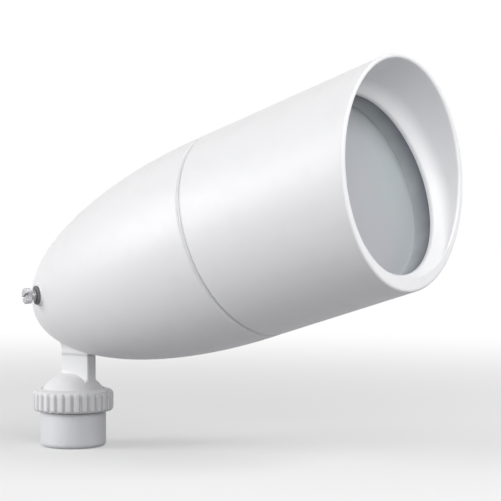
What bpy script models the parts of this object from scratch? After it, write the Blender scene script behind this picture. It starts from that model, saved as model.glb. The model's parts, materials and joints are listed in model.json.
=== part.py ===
"""Landscape floodlight: a die-cast bullet floodlight for a PAR38 lamp, on a clamped swivel.

Metres, +Z up. The origin is the centre of the hub's bottom face, where the fixture screws onto a
conduit nipple. The lamp looks along +X and up by OPTIC_PITCH.

Two frames are used. UPRIGHT is the world frame, for the hub, the nut and the arm. OPTIC has its
origin at the centre of the seam between hood and rear housing, +Z forward along the lamp's axis,
+X down and +Y to the fixture's left side.
"""
import math

import bmesh
import bpy
from mathutils import Matrix, Vector

MM = 0.001
GAP = 0.3 * MM                       # between pieces that touch

# Where the optical axis lies
OPTIC_PITCH = math.radians(18.0)
SEAM_CENTRE = Vector((0.149, 0.0, 0.150))
UPRIGHT = Matrix.Identity(4)
OPTIC = Matrix.Translation(SEAM_CENTRE) @ Matrix.Rotation(math.pi / 2 - OPTIC_PITCH, 4, "Y")

# Rear housing: half an ellipse turned about the optical axis
SEAM_RADIUS = 69.2 * MM
HOUSING_LENGTH = 184.5 * MM
HOUSING_WALL = 3.2 * MM

# Hood
HOOD_TAPER = 0.018                   # growth of the radius per unit of length
SEAM_GAP = 0.6 * MM
RIM_CENTRE = 125.6 * MM              # where the slanted mouth crosses the optical axis
RIM_SLANT = math.radians(14.2)
RIM_INNER_RADIUS = 66.8 * MM         # inside the mouth, at RIM_CENTRE
RING_BORE_RADIUS = 59.2 * MM         # flared ring in front of the lens
RING_BORE_FRONT = 105.0 * MM
RING_BORE_BACK = 102.5 * MM
RING_EDGE_RADIUS = 65.0 * MM
RING_EDGE = 112.0 * MM
HOOD_BORE_RADIUS = 66.0 * MM
SPIGOT_RADIUS = 65.4 * MM            # plugs into the rear housing
SPIGOT_BORE_RADIUS = 62.4 * MM
SPIGOT_LENGTH = 16.0 * MM

# Lens and what holds it
LENS_SEAT_RADIUS = 64.0 * MM
LENS_RADIUS = 62.8 * MM
LENS_FRONT = 90.4 * MM
LENS_THICKNESS = 4.0 * MM
LENS_CROWN = 1.6 * MM                # how far its middle bulges forward
GASKET_BORE_RADIUS = 59.7 * MM
CUSHION_THICKNESS = 1.0 * MM
SNAP_RING_HEIGHT = 2.2 * MM
SNAP_RING_GROOVE_RADIUS = 65.2 * MM
SNAP_RING_INNER_RADIUS = 60.4 * MM
SNAP_RING_MOUTH = 9.0 * MM

# Seam O-ring, in a groove of the spigot
O_RING_POSITION = -6.8 * MM
O_RING_RADIUS = 64.65 * MM
O_RING_TUBE_RADIUS = 0.85 * MM

# Hood lock screw, under the housing
LOCK_SCREW_POSITION = -11.0 * MM
LOCK_SCREW_RADIUS = 2.6 * MM

# Rear screw, square to the housing's right side; heights run inwards from the housing's surface
REAR_SCREW_TURN = math.radians(-96.2)    # round the optical axis, from straight down
REAR_SCREW_ALONG = math.radians(56.2)    # along the half ellipse, from the seam
REAR_BOSS_RADIUS = 7.6 * MM
REAR_BOSS_OUT = -0.5 * MM
REAR_BOSS_IN = 5.2 * MM
REAR_WASHER_RADIUS = 6.6 * MM
REAR_WASHER_THICKNESS = 1.4 * MM
REAR_FLANGE_RADIUS = 4.0 * MM
REAR_FLANGE_HEIGHT = 0.8 * MM
REAR_NECK_RADIUS = 2.9 * MM
REAR_NECK_HEIGHT = 2.3 * MM
REAR_HEAD_RADIUS = 5.3 * MM
REAR_HEAD_HEIGHT = 4.4 * MM
REAR_SHANK_RADIUS = 2.2 * MM
REAR_NUT_RADIUS = 4.6 * MM
REAR_NUT_HEIGHT = 3.5 * MM
DRIVE_SLOT_WIDTH = 1.6 * MM

# Lampholder bracket: a plate bent twice, from the rear screw to the back of the lampholder
BRACKET_FRONT = -129.8 * MM          # middle of the front leaf
BRACKET_END = -16.0 * MM             # its free end, past the axis
BRACKET_EAR_BACK = 7.0 * MM          # how far the ear reaches each way from the rear screw
BRACKET_EAR_FRONT = 7.5 * MM
BRACKET_HALF_WIDTH = 9.0 * MM
BRACKET_THICKNESS = 1.6 * MM
BRACKET_DEPTH = REAR_BOSS_IN + GAP + BRACKET_THICKNESS / 2   # middle of the ear, from the surface
LEAD_HOLE_RADIUS = 5.5 * MM
LEAD_HOLE_DROP = 1.0 * MM            # below the axis, in the front leaf

# Lampholder
HOLDER_BACK = -128.7 * MM
HOLDER_FRONT = -92.0 * MM
HOLDER_RADIUS = 19.5 * MM
HOLDER_SHOULDER = -112.7 * MM        # where the wide front part ends
HOLDER_NECK = -116.7 * MM            # where the narrower back part starts
HOLDER_NECK_RADIUS = 17.0 * MM
HOLDER_CHAMFER = 2.0 * MM
HOLDER_CAVITY_RADIUS = 15.0 * MM
HOLDER_CAVITY_BACK = -123.2 * MM
SHELL_RADIUS = 14.7 * MM             # outside of the brass screw shell
SHELL_WALL = 0.6 * MM
SHELL_BACK = -122.6 * MM
SHELL_FRONT = -94.0 * MM
HOLDER_SCREW_SPACING = 22.0 * MM
HOLDER_SCREW_RADIUS = 1.4 * MM
HOLDER_SCREW_HEAD_RADIUS = 2.8 * MM
HOLDER_SCREW_HEAD_HEIGHT = 1.8 * MM
HOLDER_SCREW_DEPTH = 3.6 * MM        # how far each goes into the porcelain
CONTACT_RADIUS = 4.0 * MM
CONTACT_CLEARANCE_RADIUS = 6.0 * MM
GROUND_SCREW_ASIDE = 27.0 * MM       # from the axis, on the front leaf
GROUND_SCREW_REACH = 4.0 * MM        # how far its end stands in front of the leaf's middle
GROUND_HEAD_RADIUS = 3.2 * MM
GROUND_HEAD_HEIGHT = 2.0 * MM

# PAR38 lamp, 121 mm across and 133 mm long
LAMP_FACE = 8.0 * MM                 # where its face meets the reflector
LAMP_RADIUS = 60.5 * MM
LAMP_GLASS = 2.2 * MM
LAMP_CROWN = 5.0 * MM
LAMP_NECK_RADIUS = 15.5 * MM
LAMP_NECK_BACK = -86.0 * MM
LAMP_BASE_RADIUS = 13.2 * MM
LAMP_BASE_BACK = -112.0 * MM
LAMP_TIP = -117.6 * MM
LAMP_COLLAR_LENGTH = 5.0 * MM        # wide collar of the base, before it narrows to the screw
INSULATOR_LENGTH = 3.6 * MM

# Swivel: an arm with a domed cap on a crowned hub, clamped by a ring nut
SWIVEL_HEIGHT = 25.8 * MM            # centre of all its spheres
CAP_RADIUS = 25.4 * MM
CAP_BORE_RADIUS = 22.9 * MM
CAP_RIM_ANGLE = math.radians(69.5)   # from the pole, as the next two
LINER_RADIUS = 22.6 * MM
LINER_BORE_RADIUS = 21.3 * MM
LINER_RIM_ANGLE = math.radians(79.0)
CROWN_RADIUS = 21.0 * MM
NUT_SEAT_RADIUS = 25.7 * MM
NUT_MOUTH_ANGLE = math.radians(56.5)

# Arm
STEM_OFFSET = 4.9 * MM               # middle of the stem, forward of the swivel's axis
STEM_LENGTH = 24.6 * MM              # along X
STEM_WIDTH = 9.0 * MM                # along Y
STEM_CORNER = 1.2 * MM
STEM_TOP = 63.0 * MM
STEM_FOOT = 40.0 * MM
WIRE_SLOT_LENGTH = 6.8 * MM
WIRE_SLOT_WIDTH = 5.2 * MM
ARM_SCREW_SPREAD = 7.6 * MM          # each side of the stem's middle
ARM_SCREW_RADIUS = 1.7 * MM
ARM_SCREW_HOLE_RADIUS = 2.0 * MM
ARM_SCREW_HEAD_RADIUS = 2.8 * MM
ARM_SCREW_HEAD_BOTTOM = 49.6 * MM
ARM_SCREW_HEAD_TOP = 51.8 * MM
ARM_SCREW_TOP = 72.4 * MM
ARM_GASKET_BOTTOM = STEM_TOP + GAP
ARM_GASKET_TOP = 64.1 * MM
PAD_BOTTOM = ARM_GASKET_TOP + GAP    # cast pad under the rear housing
PAD_TOP = 76.0 * MM

# Hub
HUB_RADIUS = 22.75 * MM
HUB_SHOULDER = 24.4 * MM
HUB_EDGE = 3.2 * MM                  # rounding of the bottom edge
HUB_NECK_RADIUS = 21.55 * MM         # groove for the seal, under the thread
HUB_THREAD_RADIUS = 25.15 * MM
HUB_THREAD_BOTTOM = 25.9 * MM
HUB_THREAD_TOP = 28.8 * MM
CONDUIT_BORE_RADIUS = 9.8 * MM       # for a half-inch pipe thread
CONDUIT_BORE_DEPTH = 18.0 * MM
WIRE_WAY_RADIUS = 7.0 * MM
WIRE_MOUTH_RADIUS = 8.5 * MM
NUT_SEAL_RADIUS = 25.1 * MM
NUT_SEAL_BOTTOM = 24.7 * MM
NUT_SEAL_TOP = 25.6 * MM

# Nut
NUT_RADIUS = 27.9 * MM
NUT_BORE_RADIUS = 25.45 * MM
NUT_BOTTOM = 24.9 * MM
NUT_RIB_LOW = 26.5 * MM
NUT_RIB_HIGH = 37.4 * MM
NUT_BEVEL_RADIUS = 26.8 * MM
NUT_BEVEL_HEIGHT = 38.7 * MM
NUT_TOP = 40.3 * MM
NUT_RIBS = 30
NUT_GROOVE_RADIUS = 1.7 * MM
NUT_GROOVE_DEPTH = 0.8 * MM

# Leads
LEAD_RADIUS = 1.0 * MM
LEAD_RUN = 9.0 * MM                  # straight part behind each start
LEAD_BEND = 86.0 * MM                # where they turn straight down
LEAD_END = 49.6 * MM                 # where they leave the arm into the swivel
GROUND_LEAD_CORNER = Vector((13.0 * MM, -8.0 * MM, 95.0 * MM))

STEPS = 48                           # facets round a large turned piece
SWIVEL_STEPS = 36                    # round the hub, the liner and the cap
NUT_STEPS = 60                       # two for each rib of the nut
BRASS_STEPS = 32                     # round the lampholder and the lamp's base
SMALL_STEPS = 24
HOLE_STEPS = 16
SHARP_ANGLE = math.radians(35.0)     # edges above this angle stay sharp

WHITE = ((0.87, 0.87, 0.885), 0.42, 0.0)
HUB_WHITE = ((0.80, 0.81, 0.84), 0.45, 0.0)
FROSTED_GLASS = ((0.62, 0.67, 0.72), 0.35, 0.0)
DARK_RUBBER = ((0.08, 0.08, 0.085), 0.75, 0.0)
GREY_SILICONE = ((0.34, 0.35, 0.35), 0.7, 0.0)
WHITE_SILICONE = ((0.74, 0.74, 0.75), 0.7, 0.0)
STEEL = ((0.62, 0.62, 0.63), 0.35, 1.0)
BRASS = ((0.78, 0.60, 0.30), 0.35, 1.0)
PORCELAIN = ((0.90, 0.88, 0.84), 0.2, 0.0)
MIRRORED_GLASS = ((0.82, 0.83, 0.84), 0.15, 0.9)
NYLON = ((0.85, 0.83, 0.76), 0.5, 0.0)
GREEN_STEEL = ((0.10, 0.42, 0.16), 0.4, 0.6)
BLACK_INSULATION = ((0.03, 0.03, 0.03), 0.5, 0.0)
WHITE_INSULATION = ((0.82, 0.82, 0.80), 0.5, 0.0)
GREEN_INSULATION = ((0.06, 0.30, 0.10), 0.5, 0.0)
BLACK_GLASS = ((0.02, 0.02, 0.025), 0.1, 0.0)
SOLDER = ((0.60, 0.60, 0.60), 0.4, 1.0)

# The rear screw's half plane holds the optical axis; its own frame has +Z inwards
REAR_SIDE = OPTIC @ Matrix.Rotation(REAR_SCREW_TURN, 4, "Z")
REAR_RADIUS = SEAM_RADIUS * math.cos(REAR_SCREW_ALONG)
REAR_POSITION = -HOUSING_LENGTH * math.sin(REAR_SCREW_ALONG)
REAR_LEAN = math.atan2(SEAM_RADIUS * math.sin(REAR_SCREW_ALONG),
                       HOUSING_LENGTH * math.cos(REAR_SCREW_ALONG))
REAR_PLACE = (REAR_SIDE @ Matrix.Translation((REAR_RADIUS, 0, REAR_POSITION))
              @ Matrix.Rotation(REAR_LEAN - math.pi / 2, 4, "Y"))

# What moves: the axis, the axis it hangs on, its place and its pieces
SWIVEL = Matrix.Translation((0, 0, SWIVEL_HEIGHT))
MOVING = (
    ("nut_axis", None, SWIVEL, ("swivel_nut",)),
    ("pan_axis", None, SWIVEL, ("swivel_liner",)),
    ("tilt_axis", "pan_axis", SWIVEL, (
        "swivel_arm", "arm_gasket", "arm_screw_back", "arm_screw_front", "rear_housing",
        "hood_lock_screw", "rear_washer", "rear_screw", "rear_nut", "lampholder_bracket",
        "ground_screw", "lampholder", "lampholder_screw_left", "lampholder_screw_right",
        "screw_shell", "centre_contact", "lead_black", "lead_white", "lead_green")),
    ("hood_axis", "tilt_axis", OPTIC, (
        "hood", "seam_gasket", "lens", "lens_gasket", "lens_cushion", "lens_retaining_ring")),
    ("lamp_axis", "tilt_axis", OPTIC, (
        "lamp_reflector", "lamp_face", "lamp_base", "lamp_insulator", "lamp_contact")),
)


def clear_scene():
    """Remove every object, so that the file holds only the floodlight."""
    for obj in list(bpy.data.objects):
        bpy.data.objects.remove(obj, do_unlink=True)


def new_collection(name):
    """Make a collection in the scene."""
    collection = bpy.data.collections.new(name)
    bpy.context.scene.collection.children.link(collection)
    return collection


def finish_material(name, finish):
    """Make a Principled material from a colour, a roughness and a metallic value."""
    color, roughness, metallic = finish
    material = bpy.data.materials.new(name)
    material.use_nodes = True
    shader = material.node_tree.nodes["Principled BSDF"]
    shader.inputs["Base Color"].default_value = (*color, 1.0)
    shader.inputs["Roughness"].default_value = roughness
    shader.inputs["Metallic"].default_value = metallic
    return material


def place_mesh(name, mesh, place, finish):
    """Put a mesh into the scene: a part where it has a finish, a cutter where it has none."""
    obj = bpy.data.objects.new(name, mesh)
    obj.matrix_world = place
    if finish is None:
        CUTTERS.objects.link(obj)
        obj.hide_render = True
        obj.display_type = "WIRE"
    else:
        PARTS.objects.link(obj)
        obj.data.materials.append(finish_material(name, finish))
    return obj


def turned(name, profile, place, finish, steps=STEPS, closed=True):
    """Turn (radius, height) points about local Z; they run down the outer side, then up inside."""
    corners = [(radius, 0.0, height) for radius, height in profile]
    edges = [(i, i + 1) for i in range(len(corners) - 1)]
    if closed:
        edges.append((len(corners) - 1, 0))
    mesh = bpy.data.meshes.new(name)
    mesh.from_pydata(corners, edges, [])
    obj = place_mesh(name, mesh, place, finish)
    turn = obj.modifiers.new("turn", "SCREW")
    turn.axis = "Z"
    turn.steps = steps
    turn.render_steps = steps
    turn.use_merge_vertices = True
    turn.merge_threshold = 0.00001
    turn.use_smooth_shade = True
    return obj


def rod(name, radius, low, high, place, finish=None, sides=SMALL_STEPS, x=0.0, y=0.0):
    """A cylinder along local Z between two heights."""
    shape = bmesh.new()
    middle = Matrix.Translation((x, y, (low + high) / 2)) @ Matrix.Rotation(math.pi / sides, 4, "Z")
    bmesh.ops.create_cone(shape, cap_ends=True, segments=sides, radius1=radius, radius2=radius,
                          depth=high - low, matrix=middle)
    return from_bmesh(name, shape, place, finish)


def block(name, size, centre, place, finish=None):
    """A box of a given size about a centre."""
    shape = bmesh.new()
    matrix = Matrix.Translation(centre) @ Matrix.Diagonal((*size, 1.0))
    bmesh.ops.create_cube(shape, size=1.0, matrix=matrix)
    return from_bmesh(name, shape, place, finish)


def from_bmesh(name, shape, place, finish):
    """Turn a bmesh into an object."""
    mesh = bpy.data.meshes.new(name)
    shape.to_mesh(mesh)
    shape.free()
    mesh.shade_smooth()
    mesh.set_sharp_from_angle(angle=SHARP_ANGLE)
    return place_mesh(name, mesh, place, finish)


def hang(piece, parent):
    """Parent a piece to another object and leave it where it is."""
    piece.parent = parent
    piece.matrix_parent_inverse = parent.matrix_world.inverted()


def combine(part, other, operation):
    """Add a Boolean that cuts `other` from the part, or joins it on."""
    change = part.modifiers.new(other.name, "BOOLEAN")
    change.operation = operation
    change.object = other
    hang(other, part)


def cut(part, cutter):
    """Cut a cutter from a part."""
    combine(part, cutter, "DIFFERENCE")


def join(part, other):
    """Join a shape onto a part."""
    combine(part, other, "UNION")


def arc(radius, start, end, count, height):
    """Points (radius, height) on a sphere's section, by angle from its pole."""
    points = []
    for i in range(count + 1):
        angle = start + (end - start) * i / count
        points.append((radius * math.sin(angle), height + radius * math.cos(angle)))
    return points


def hood_radius(position):
    """Outer radius of the hood at a place along the optical axis."""
    return SEAM_RADIUS + HOOD_TAPER * position


def ogive(radius, length, count):
    """Points of half an ellipse from its full radius at height 0 back to the axis."""
    points = []
    for i in range(count + 1):
        angle = math.pi / 2 * i / count
        points.append((radius * math.cos(angle), -length * math.sin(angle)))
    points[-1] = (0.0, points[-1][1])
    return points


def make_hub():
    """Hub: conduit bore below, thread for the nut, and the crown that carries the swivel."""
    shoulder_angle = math.acos((HUB_THREAD_TOP - SWIVEL_HEIGHT) / CROWN_RADIUS)
    mouth_angle = math.asin(WIRE_MOUTH_RADIUS / CROWN_RADIUS)
    profile = arc(CROWN_RADIUS, mouth_angle, shoulder_angle, 6, SWIVEL_HEIGHT)
    profile.append((HUB_THREAD_RADIUS, HUB_THREAD_TOP))
    profile.append((HUB_THREAD_RADIUS, HUB_THREAD_BOTTOM))
    profile.append((HUB_NECK_RADIUS, HUB_THREAD_BOTTOM))
    profile.append((HUB_NECK_RADIUS, HUB_SHOULDER))
    profile.append((HUB_RADIUS, HUB_SHOULDER))
    for i in range(4):
        angle = math.pi / 2 * i / 3
        profile.append((HUB_RADIUS - HUB_EDGE + HUB_EDGE * math.cos(angle),
                        HUB_EDGE - HUB_EDGE * math.sin(angle)))
    profile.append((CONDUIT_BORE_RADIUS, 0.0))
    profile.append((CONDUIT_BORE_RADIUS, CONDUIT_BORE_DEPTH))
    profile.append((WIRE_WAY_RADIUS, CONDUIT_BORE_DEPTH))
    profile.append((WIRE_WAY_RADIUS, SWIVEL_HEIGHT + CROWN_RADIUS / 2))
    turned("hub_base", profile, UPRIGHT, HUB_WHITE, SWIVEL_STEPS)


def make_nut_seal():
    """Rubber ring between the hub's shoulder and its thread, under the nut."""
    inner = HUB_NECK_RADIUS + GAP
    turned("nut_seal", [(NUT_SEAL_RADIUS, NUT_SEAL_TOP), (NUT_SEAL_RADIUS, NUT_SEAL_BOTTOM),
                        (inner, NUT_SEAL_BOTTOM), (inner, NUT_SEAL_TOP)], UPRIGHT, DARK_RUBBER)


def make_nut():
    """Ring nut: a spherical seat over the arm's cap, and a ribbed grip outside."""
    mouth = arc(NUT_SEAT_RADIUS, NUT_MOUTH_ANGLE, math.asin(NUT_BORE_RADIUS / NUT_SEAT_RADIUS), 4,
                SWIVEL_HEIGHT)
    profile = [(mouth[0][0] + 0.9 * MM, NUT_TOP), (NUT_BEVEL_RADIUS, NUT_BEVEL_HEIGHT),
               (NUT_RADIUS, NUT_RIB_HIGH), (NUT_RADIUS, NUT_RIB_LOW),
               (NUT_RADIUS - 1.4 * MM, NUT_BOTTOM), (NUT_BORE_RADIUS, NUT_BOTTOM)]
    profile += reversed(mouth)
    nut = turned("swivel_nut", profile, UPRIGHT, WHITE, NUT_STEPS)
    grooves = bmesh.new()
    distance = NUT_RADIUS + NUT_GROOVE_RADIUS - NUT_GROOVE_DEPTH
    out = Matrix.Translation((distance, 0, (NUT_BOTTOM + NUT_TOP) / 2))
    for i in range(NUT_RIBS):
        turn = Matrix.Rotation(2 * math.pi * i / NUT_RIBS, 4, "Z") @ out
        bmesh.ops.create_cone(grooves, cap_ends=True, segments=6, radius1=NUT_GROOVE_RADIUS,
                              radius2=NUT_GROOVE_RADIUS, depth=NUT_TOP - NUT_BOTTOM + 4 * MM, matrix=turn)
    cut(nut, from_bmesh("nut_grooves", grooves, UPRIGHT, None))


def make_liner():
    """Thin nylon cup between the crown and the cap; it turns with the arm but doesn't tilt."""
    mouth = math.asin((WIRE_MOUTH_RADIUS + 1.5 * MM) / LINER_RADIUS)
    profile = arc(LINER_RADIUS, mouth, LINER_RIM_ANGLE, 6, SWIVEL_HEIGHT)
    profile += reversed(arc(LINER_BORE_RADIUS, mouth, LINER_RIM_ANGLE, 6, SWIVEL_HEIGHT))
    turned("swivel_liner", profile, UPRIGHT, NYLON, SWIVEL_STEPS)


def make_arm():
    """Swivel arm: a domed cap and a flat-sided stem, cored for the leads and the screws."""
    dome = arc(CAP_RADIUS, 0.0, CAP_RIM_ANGLE, 8, SWIVEL_HEIGHT)
    dome.append((0.0, dome[-1][1]))
    arm = turned("swivel_arm", dome, UPRIGHT, WHITE, SWIVEL_STEPS, closed=False)
    stem_size = (STEM_LENGTH, STEM_WIDTH, STEM_TOP - STEM_FOOT)
    stem = block("stem", stem_size, (STEM_OFFSET, 0, (STEM_TOP + STEM_FOOT) / 2), UPRIGHT)
    round_upright_edges(stem)
    join(arm, stem)
    half_step = Matrix.Rotation(math.pi / SWIVEL_STEPS, 4, "Z")
    ball = turned("cap_bore", arc(CAP_BORE_RADIUS, 0.0, math.pi, 18, SWIVEL_HEIGHT), half_step, None,
                  SWIVEL_STEPS, closed=False)
    cut(arm, ball)
    cut(arm, wire_slot("arm_wire_slot", STEM_FOOT, STEM_TOP + MM))
    for side in (-1, 1):
        x = STEM_OFFSET + side * ARM_SCREW_SPREAD
        cut(arm, rod("arm_screw_hole", ARM_SCREW_HOLE_RADIUS, STEM_FOOT, STEM_TOP + MM, UPRIGHT,
                     sides=HOLE_STEPS, x=x))
        cut(arm, rod("arm_screw_recess", ARM_SCREW_HEAD_RADIUS + GAP, STEM_FOOT - 4 * MM,
                     ARM_SCREW_HEAD_TOP + GAP, UPRIGHT, sides=HOLE_STEPS, x=x))


def round_upright_edges(obj):
    """Round the four upright edges of a block with a modifier that finds them by weight."""
    edges = obj.data.edges
    weights = obj.data.attributes.new("bevel_weight_edge", "FLOAT", "EDGE")
    for edge in edges:
        start, end = (obj.data.vertices[i].co for i in edge.vertices)
        weights.data[edge.index].value = 1.0 if abs(start.z - end.z) > MM else 0.0
    bevel = obj.modifiers.new("rounding", "BEVEL")
    bevel.limit_method = "WEIGHT"
    bevel.width = STEM_CORNER
    bevel.segments = 2


def wire_slot(name, low, high):
    """Cutter of the obround way for the leads, through the stem or the housing's pad."""
    shape = bmesh.new()
    half = (WIRE_SLOT_LENGTH - WIRE_SLOT_WIDTH) / 2
    for z in (low, high):
        ring = []
        for i in range(20):
            angle = 2 * math.pi * (i + 0.5) / 20
            shift = half if math.cos(angle) > 0 else -half
            ring.append(shape.verts.new((STEM_OFFSET + shift + WIRE_SLOT_WIDTH / 2 * math.cos(angle),
                                         WIRE_SLOT_WIDTH / 2 * math.sin(angle), z)))
        shape.faces.new(ring)
    bmesh.ops.bridge_loops(shape, edges=shape.edges[:])
    bmesh.ops.recalc_face_normals(shape, faces=shape.faces[:])
    return from_bmesh(name, shape, UPRIGHT, None)


def make_arm_gasket():
    """Flat gasket between the stem and the housing's pad."""
    size = (STEM_LENGTH - 0.4 * MM, STEM_WIDTH - 0.4 * MM, ARM_GASKET_TOP - ARM_GASKET_BOTTOM)
    centre = (STEM_OFFSET, 0, (ARM_GASKET_TOP + ARM_GASKET_BOTTOM) / 2)
    gasket = block("arm_gasket", size, centre, UPRIGHT, WHITE_SILICONE)
    round_upright_edges(gasket)
    low, high = STEM_TOP - MM, PAD_BOTTOM + MM
    cut(gasket, wire_slot("gasket_wire_slot", low, high))
    for side in (-1, 1):
        cut(gasket, rod("gasket_screw_hole", ARM_SCREW_HOLE_RADIUS, low, high, UPRIGHT, sides=HOLE_STEPS,
                        x=STEM_OFFSET + side * ARM_SCREW_SPREAD))


def make_arm_screws():
    """Two screws from inside the cap, up through the stem into the housing's pad."""
    profile = [(0.0, ARM_SCREW_TOP), (ARM_SCREW_RADIUS, ARM_SCREW_TOP),
               (ARM_SCREW_RADIUS, ARM_SCREW_HEAD_TOP), (ARM_SCREW_HEAD_RADIUS, ARM_SCREW_HEAD_TOP),
               (ARM_SCREW_HEAD_RADIUS, ARM_SCREW_HEAD_BOTTOM), (0.0, ARM_SCREW_HEAD_BOTTOM)]
    for name, side in (("arm_screw_back", -1), ("arm_screw_front", 1)):
        place = Matrix.Translation((STEM_OFFSET + side * ARM_SCREW_SPREAD, 0, 0))
        turned(name, profile, place, STEEL, 12, closed=False)


def make_rear_housing():
    """Ogive shell with a pad for the arm below and a boss for the rear screw on its side."""
    inner = ogive(SEAM_RADIUS - HOUSING_WALL, HOUSING_LENGTH - HOUSING_WALL * 1.1, 9)
    profile = list(reversed(inner)) + ogive(SEAM_RADIUS, HOUSING_LENGTH, 12)
    housing = turned("rear_housing", profile, OPTIC, WHITE, STEPS, closed=False)
    pad_size = (STEM_LENGTH, STEM_WIDTH, PAD_TOP - PAD_BOTTOM)
    pad = block("arm_pad", pad_size, (STEM_OFFSET, 0, (PAD_TOP + PAD_BOTTOM) / 2), UPRIGHT)
    round_upright_edges(pad)
    join(housing, pad)
    join(housing, rod("rear_boss", REAR_BOSS_RADIUS, REAR_BOSS_OUT, REAR_BOSS_IN, REAR_PLACE))
    cut(housing, wire_slot("pad_wire_slot", PAD_BOTTOM - MM, PAD_TOP + 8 * MM))
    for side in (-1, 1):
        cut(housing, rod("pad_screw_hole", ARM_SCREW_HOLE_RADIUS, PAD_BOTTOM - MM, ARM_SCREW_TOP + MM,
                         UPRIGHT, sides=HOLE_STEPS, x=STEM_OFFSET + side * ARM_SCREW_SPREAD))
    cut(housing, rod("rear_screw_hole", REAR_SHANK_RADIUS + GAP, REAR_BOSS_OUT - MM,
                     REAR_BOSS_IN + MM, REAR_PLACE, sides=HOLE_STEPS))
    cut(housing, rod("lock_screw_hole", LOCK_SCREW_RADIUS + GAP, SEAM_RADIUS - 2 * HOUSING_WALL,
                     SEAM_RADIUS + 2 * MM, downward(LOCK_SCREW_POSITION), sides=HOLE_STEPS))


def downward(position):
    """A frame on the optical axis whose +Z points down and away from it."""
    return OPTIC @ Matrix.Translation((0, 0, position)) @ Matrix.Rotation(math.pi / 2, 4, "Y")


def make_hood_lock_screw():
    """Headless slotted screw under the housing; its point bears on the hood's spigot."""
    place = downward(LOCK_SCREW_POSITION)
    screw = rod("hood_lock_screw", LOCK_SCREW_RADIUS, SPIGOT_RADIUS + GAP, SEAM_RADIUS - GAP, place,
                STEEL, sides=HOLE_STEPS)
    cut(screw, block("lock_screw_slot", (4 * LOCK_SCREW_RADIUS, DRIVE_SLOT_WIDTH / 2, 2 * MM),
                     (0, 0, SEAM_RADIUS), place))


def make_hood():
    """Hood: spigot, lens seat and flared ring inside, and a mouth cut on a slant."""
    far = RIM_CENTRE + math.tan(RIM_SLANT) * (SEAM_RADIUS + 4 * MM) + 2 * MM
    rim_growth = (RIM_INNER_RADIUS - RING_EDGE_RADIUS) / (RIM_CENTRE - RING_EDGE)
    seat_back = LENS_FRONT - LENS_THICKNESS - CUSHION_THICKNESS - 2 * GAP
    groove_back = seat_back - SNAP_RING_HEIGHT - 2 * GAP
    o_ring_half = O_RING_TUBE_RADIUS + GAP
    profile = [
        (hood_radius(far), far),
        (SEAM_RADIUS + 0.2 * MM, SEAM_GAP + 0.5 * MM),
        (SEAM_RADIUS - 0.5 * MM, SEAM_GAP),
        (SPIGOT_RADIUS, SEAM_GAP),
        (SPIGOT_RADIUS, O_RING_POSITION + o_ring_half),
        (O_RING_RADIUS - o_ring_half, O_RING_POSITION + o_ring_half),
        (O_RING_RADIUS - o_ring_half, O_RING_POSITION - o_ring_half),
        (SPIGOT_RADIUS, O_RING_POSITION - o_ring_half),
        (SPIGOT_RADIUS, -SPIGOT_LENGTH),
        (SPIGOT_BORE_RADIUS, -SPIGOT_LENGTH),
        (SPIGOT_BORE_RADIUS, 2 * MM),
        (HOOD_BORE_RADIUS, 8 * MM),
        (HOOD_BORE_RADIUS, groove_back - 6 * MM),
        (LENS_SEAT_RADIUS, groove_back - 3 * MM),
        (LENS_SEAT_RADIUS, groove_back),
        (SNAP_RING_GROOVE_RADIUS, groove_back),
        (SNAP_RING_GROOVE_RADIUS, seat_back),
        (LENS_SEAT_RADIUS, seat_back),
        (LENS_SEAT_RADIUS, RING_BORE_BACK),
        (RING_BORE_RADIUS, RING_BORE_BACK),
        (RING_BORE_RADIUS, RING_BORE_FRONT),
        (RING_EDGE_RADIUS, RING_EDGE),
        (RIM_INNER_RADIUS + rim_growth * (far - RIM_CENTRE), far),
    ]
    hood = turned("hood", profile, OPTIC, WHITE)
    slant = OPTIC @ Matrix.Translation((0, 0, RIM_CENTRE)) @ Matrix.Rotation(RIM_SLANT, 4, "Y")
    size = (4 * SEAM_RADIUS, 4 * SEAM_RADIUS, 2 * SEAM_RADIUS)
    cut(hood, block("mouth_cut", size, (0, 0, SEAM_RADIUS), slant))


def make_seam_gasket():
    """O-ring in the spigot's groove."""
    ring = []
    for i in range(6):
        angle = -2 * math.pi * (i + 0.5) / 6
        ring.append((O_RING_RADIUS + O_RING_TUBE_RADIUS * math.cos(angle),
                     O_RING_POSITION + O_RING_TUBE_RADIUS * math.sin(angle)))
    turned("seam_gasket", ring, OPTIC, DARK_RUBBER)


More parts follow.
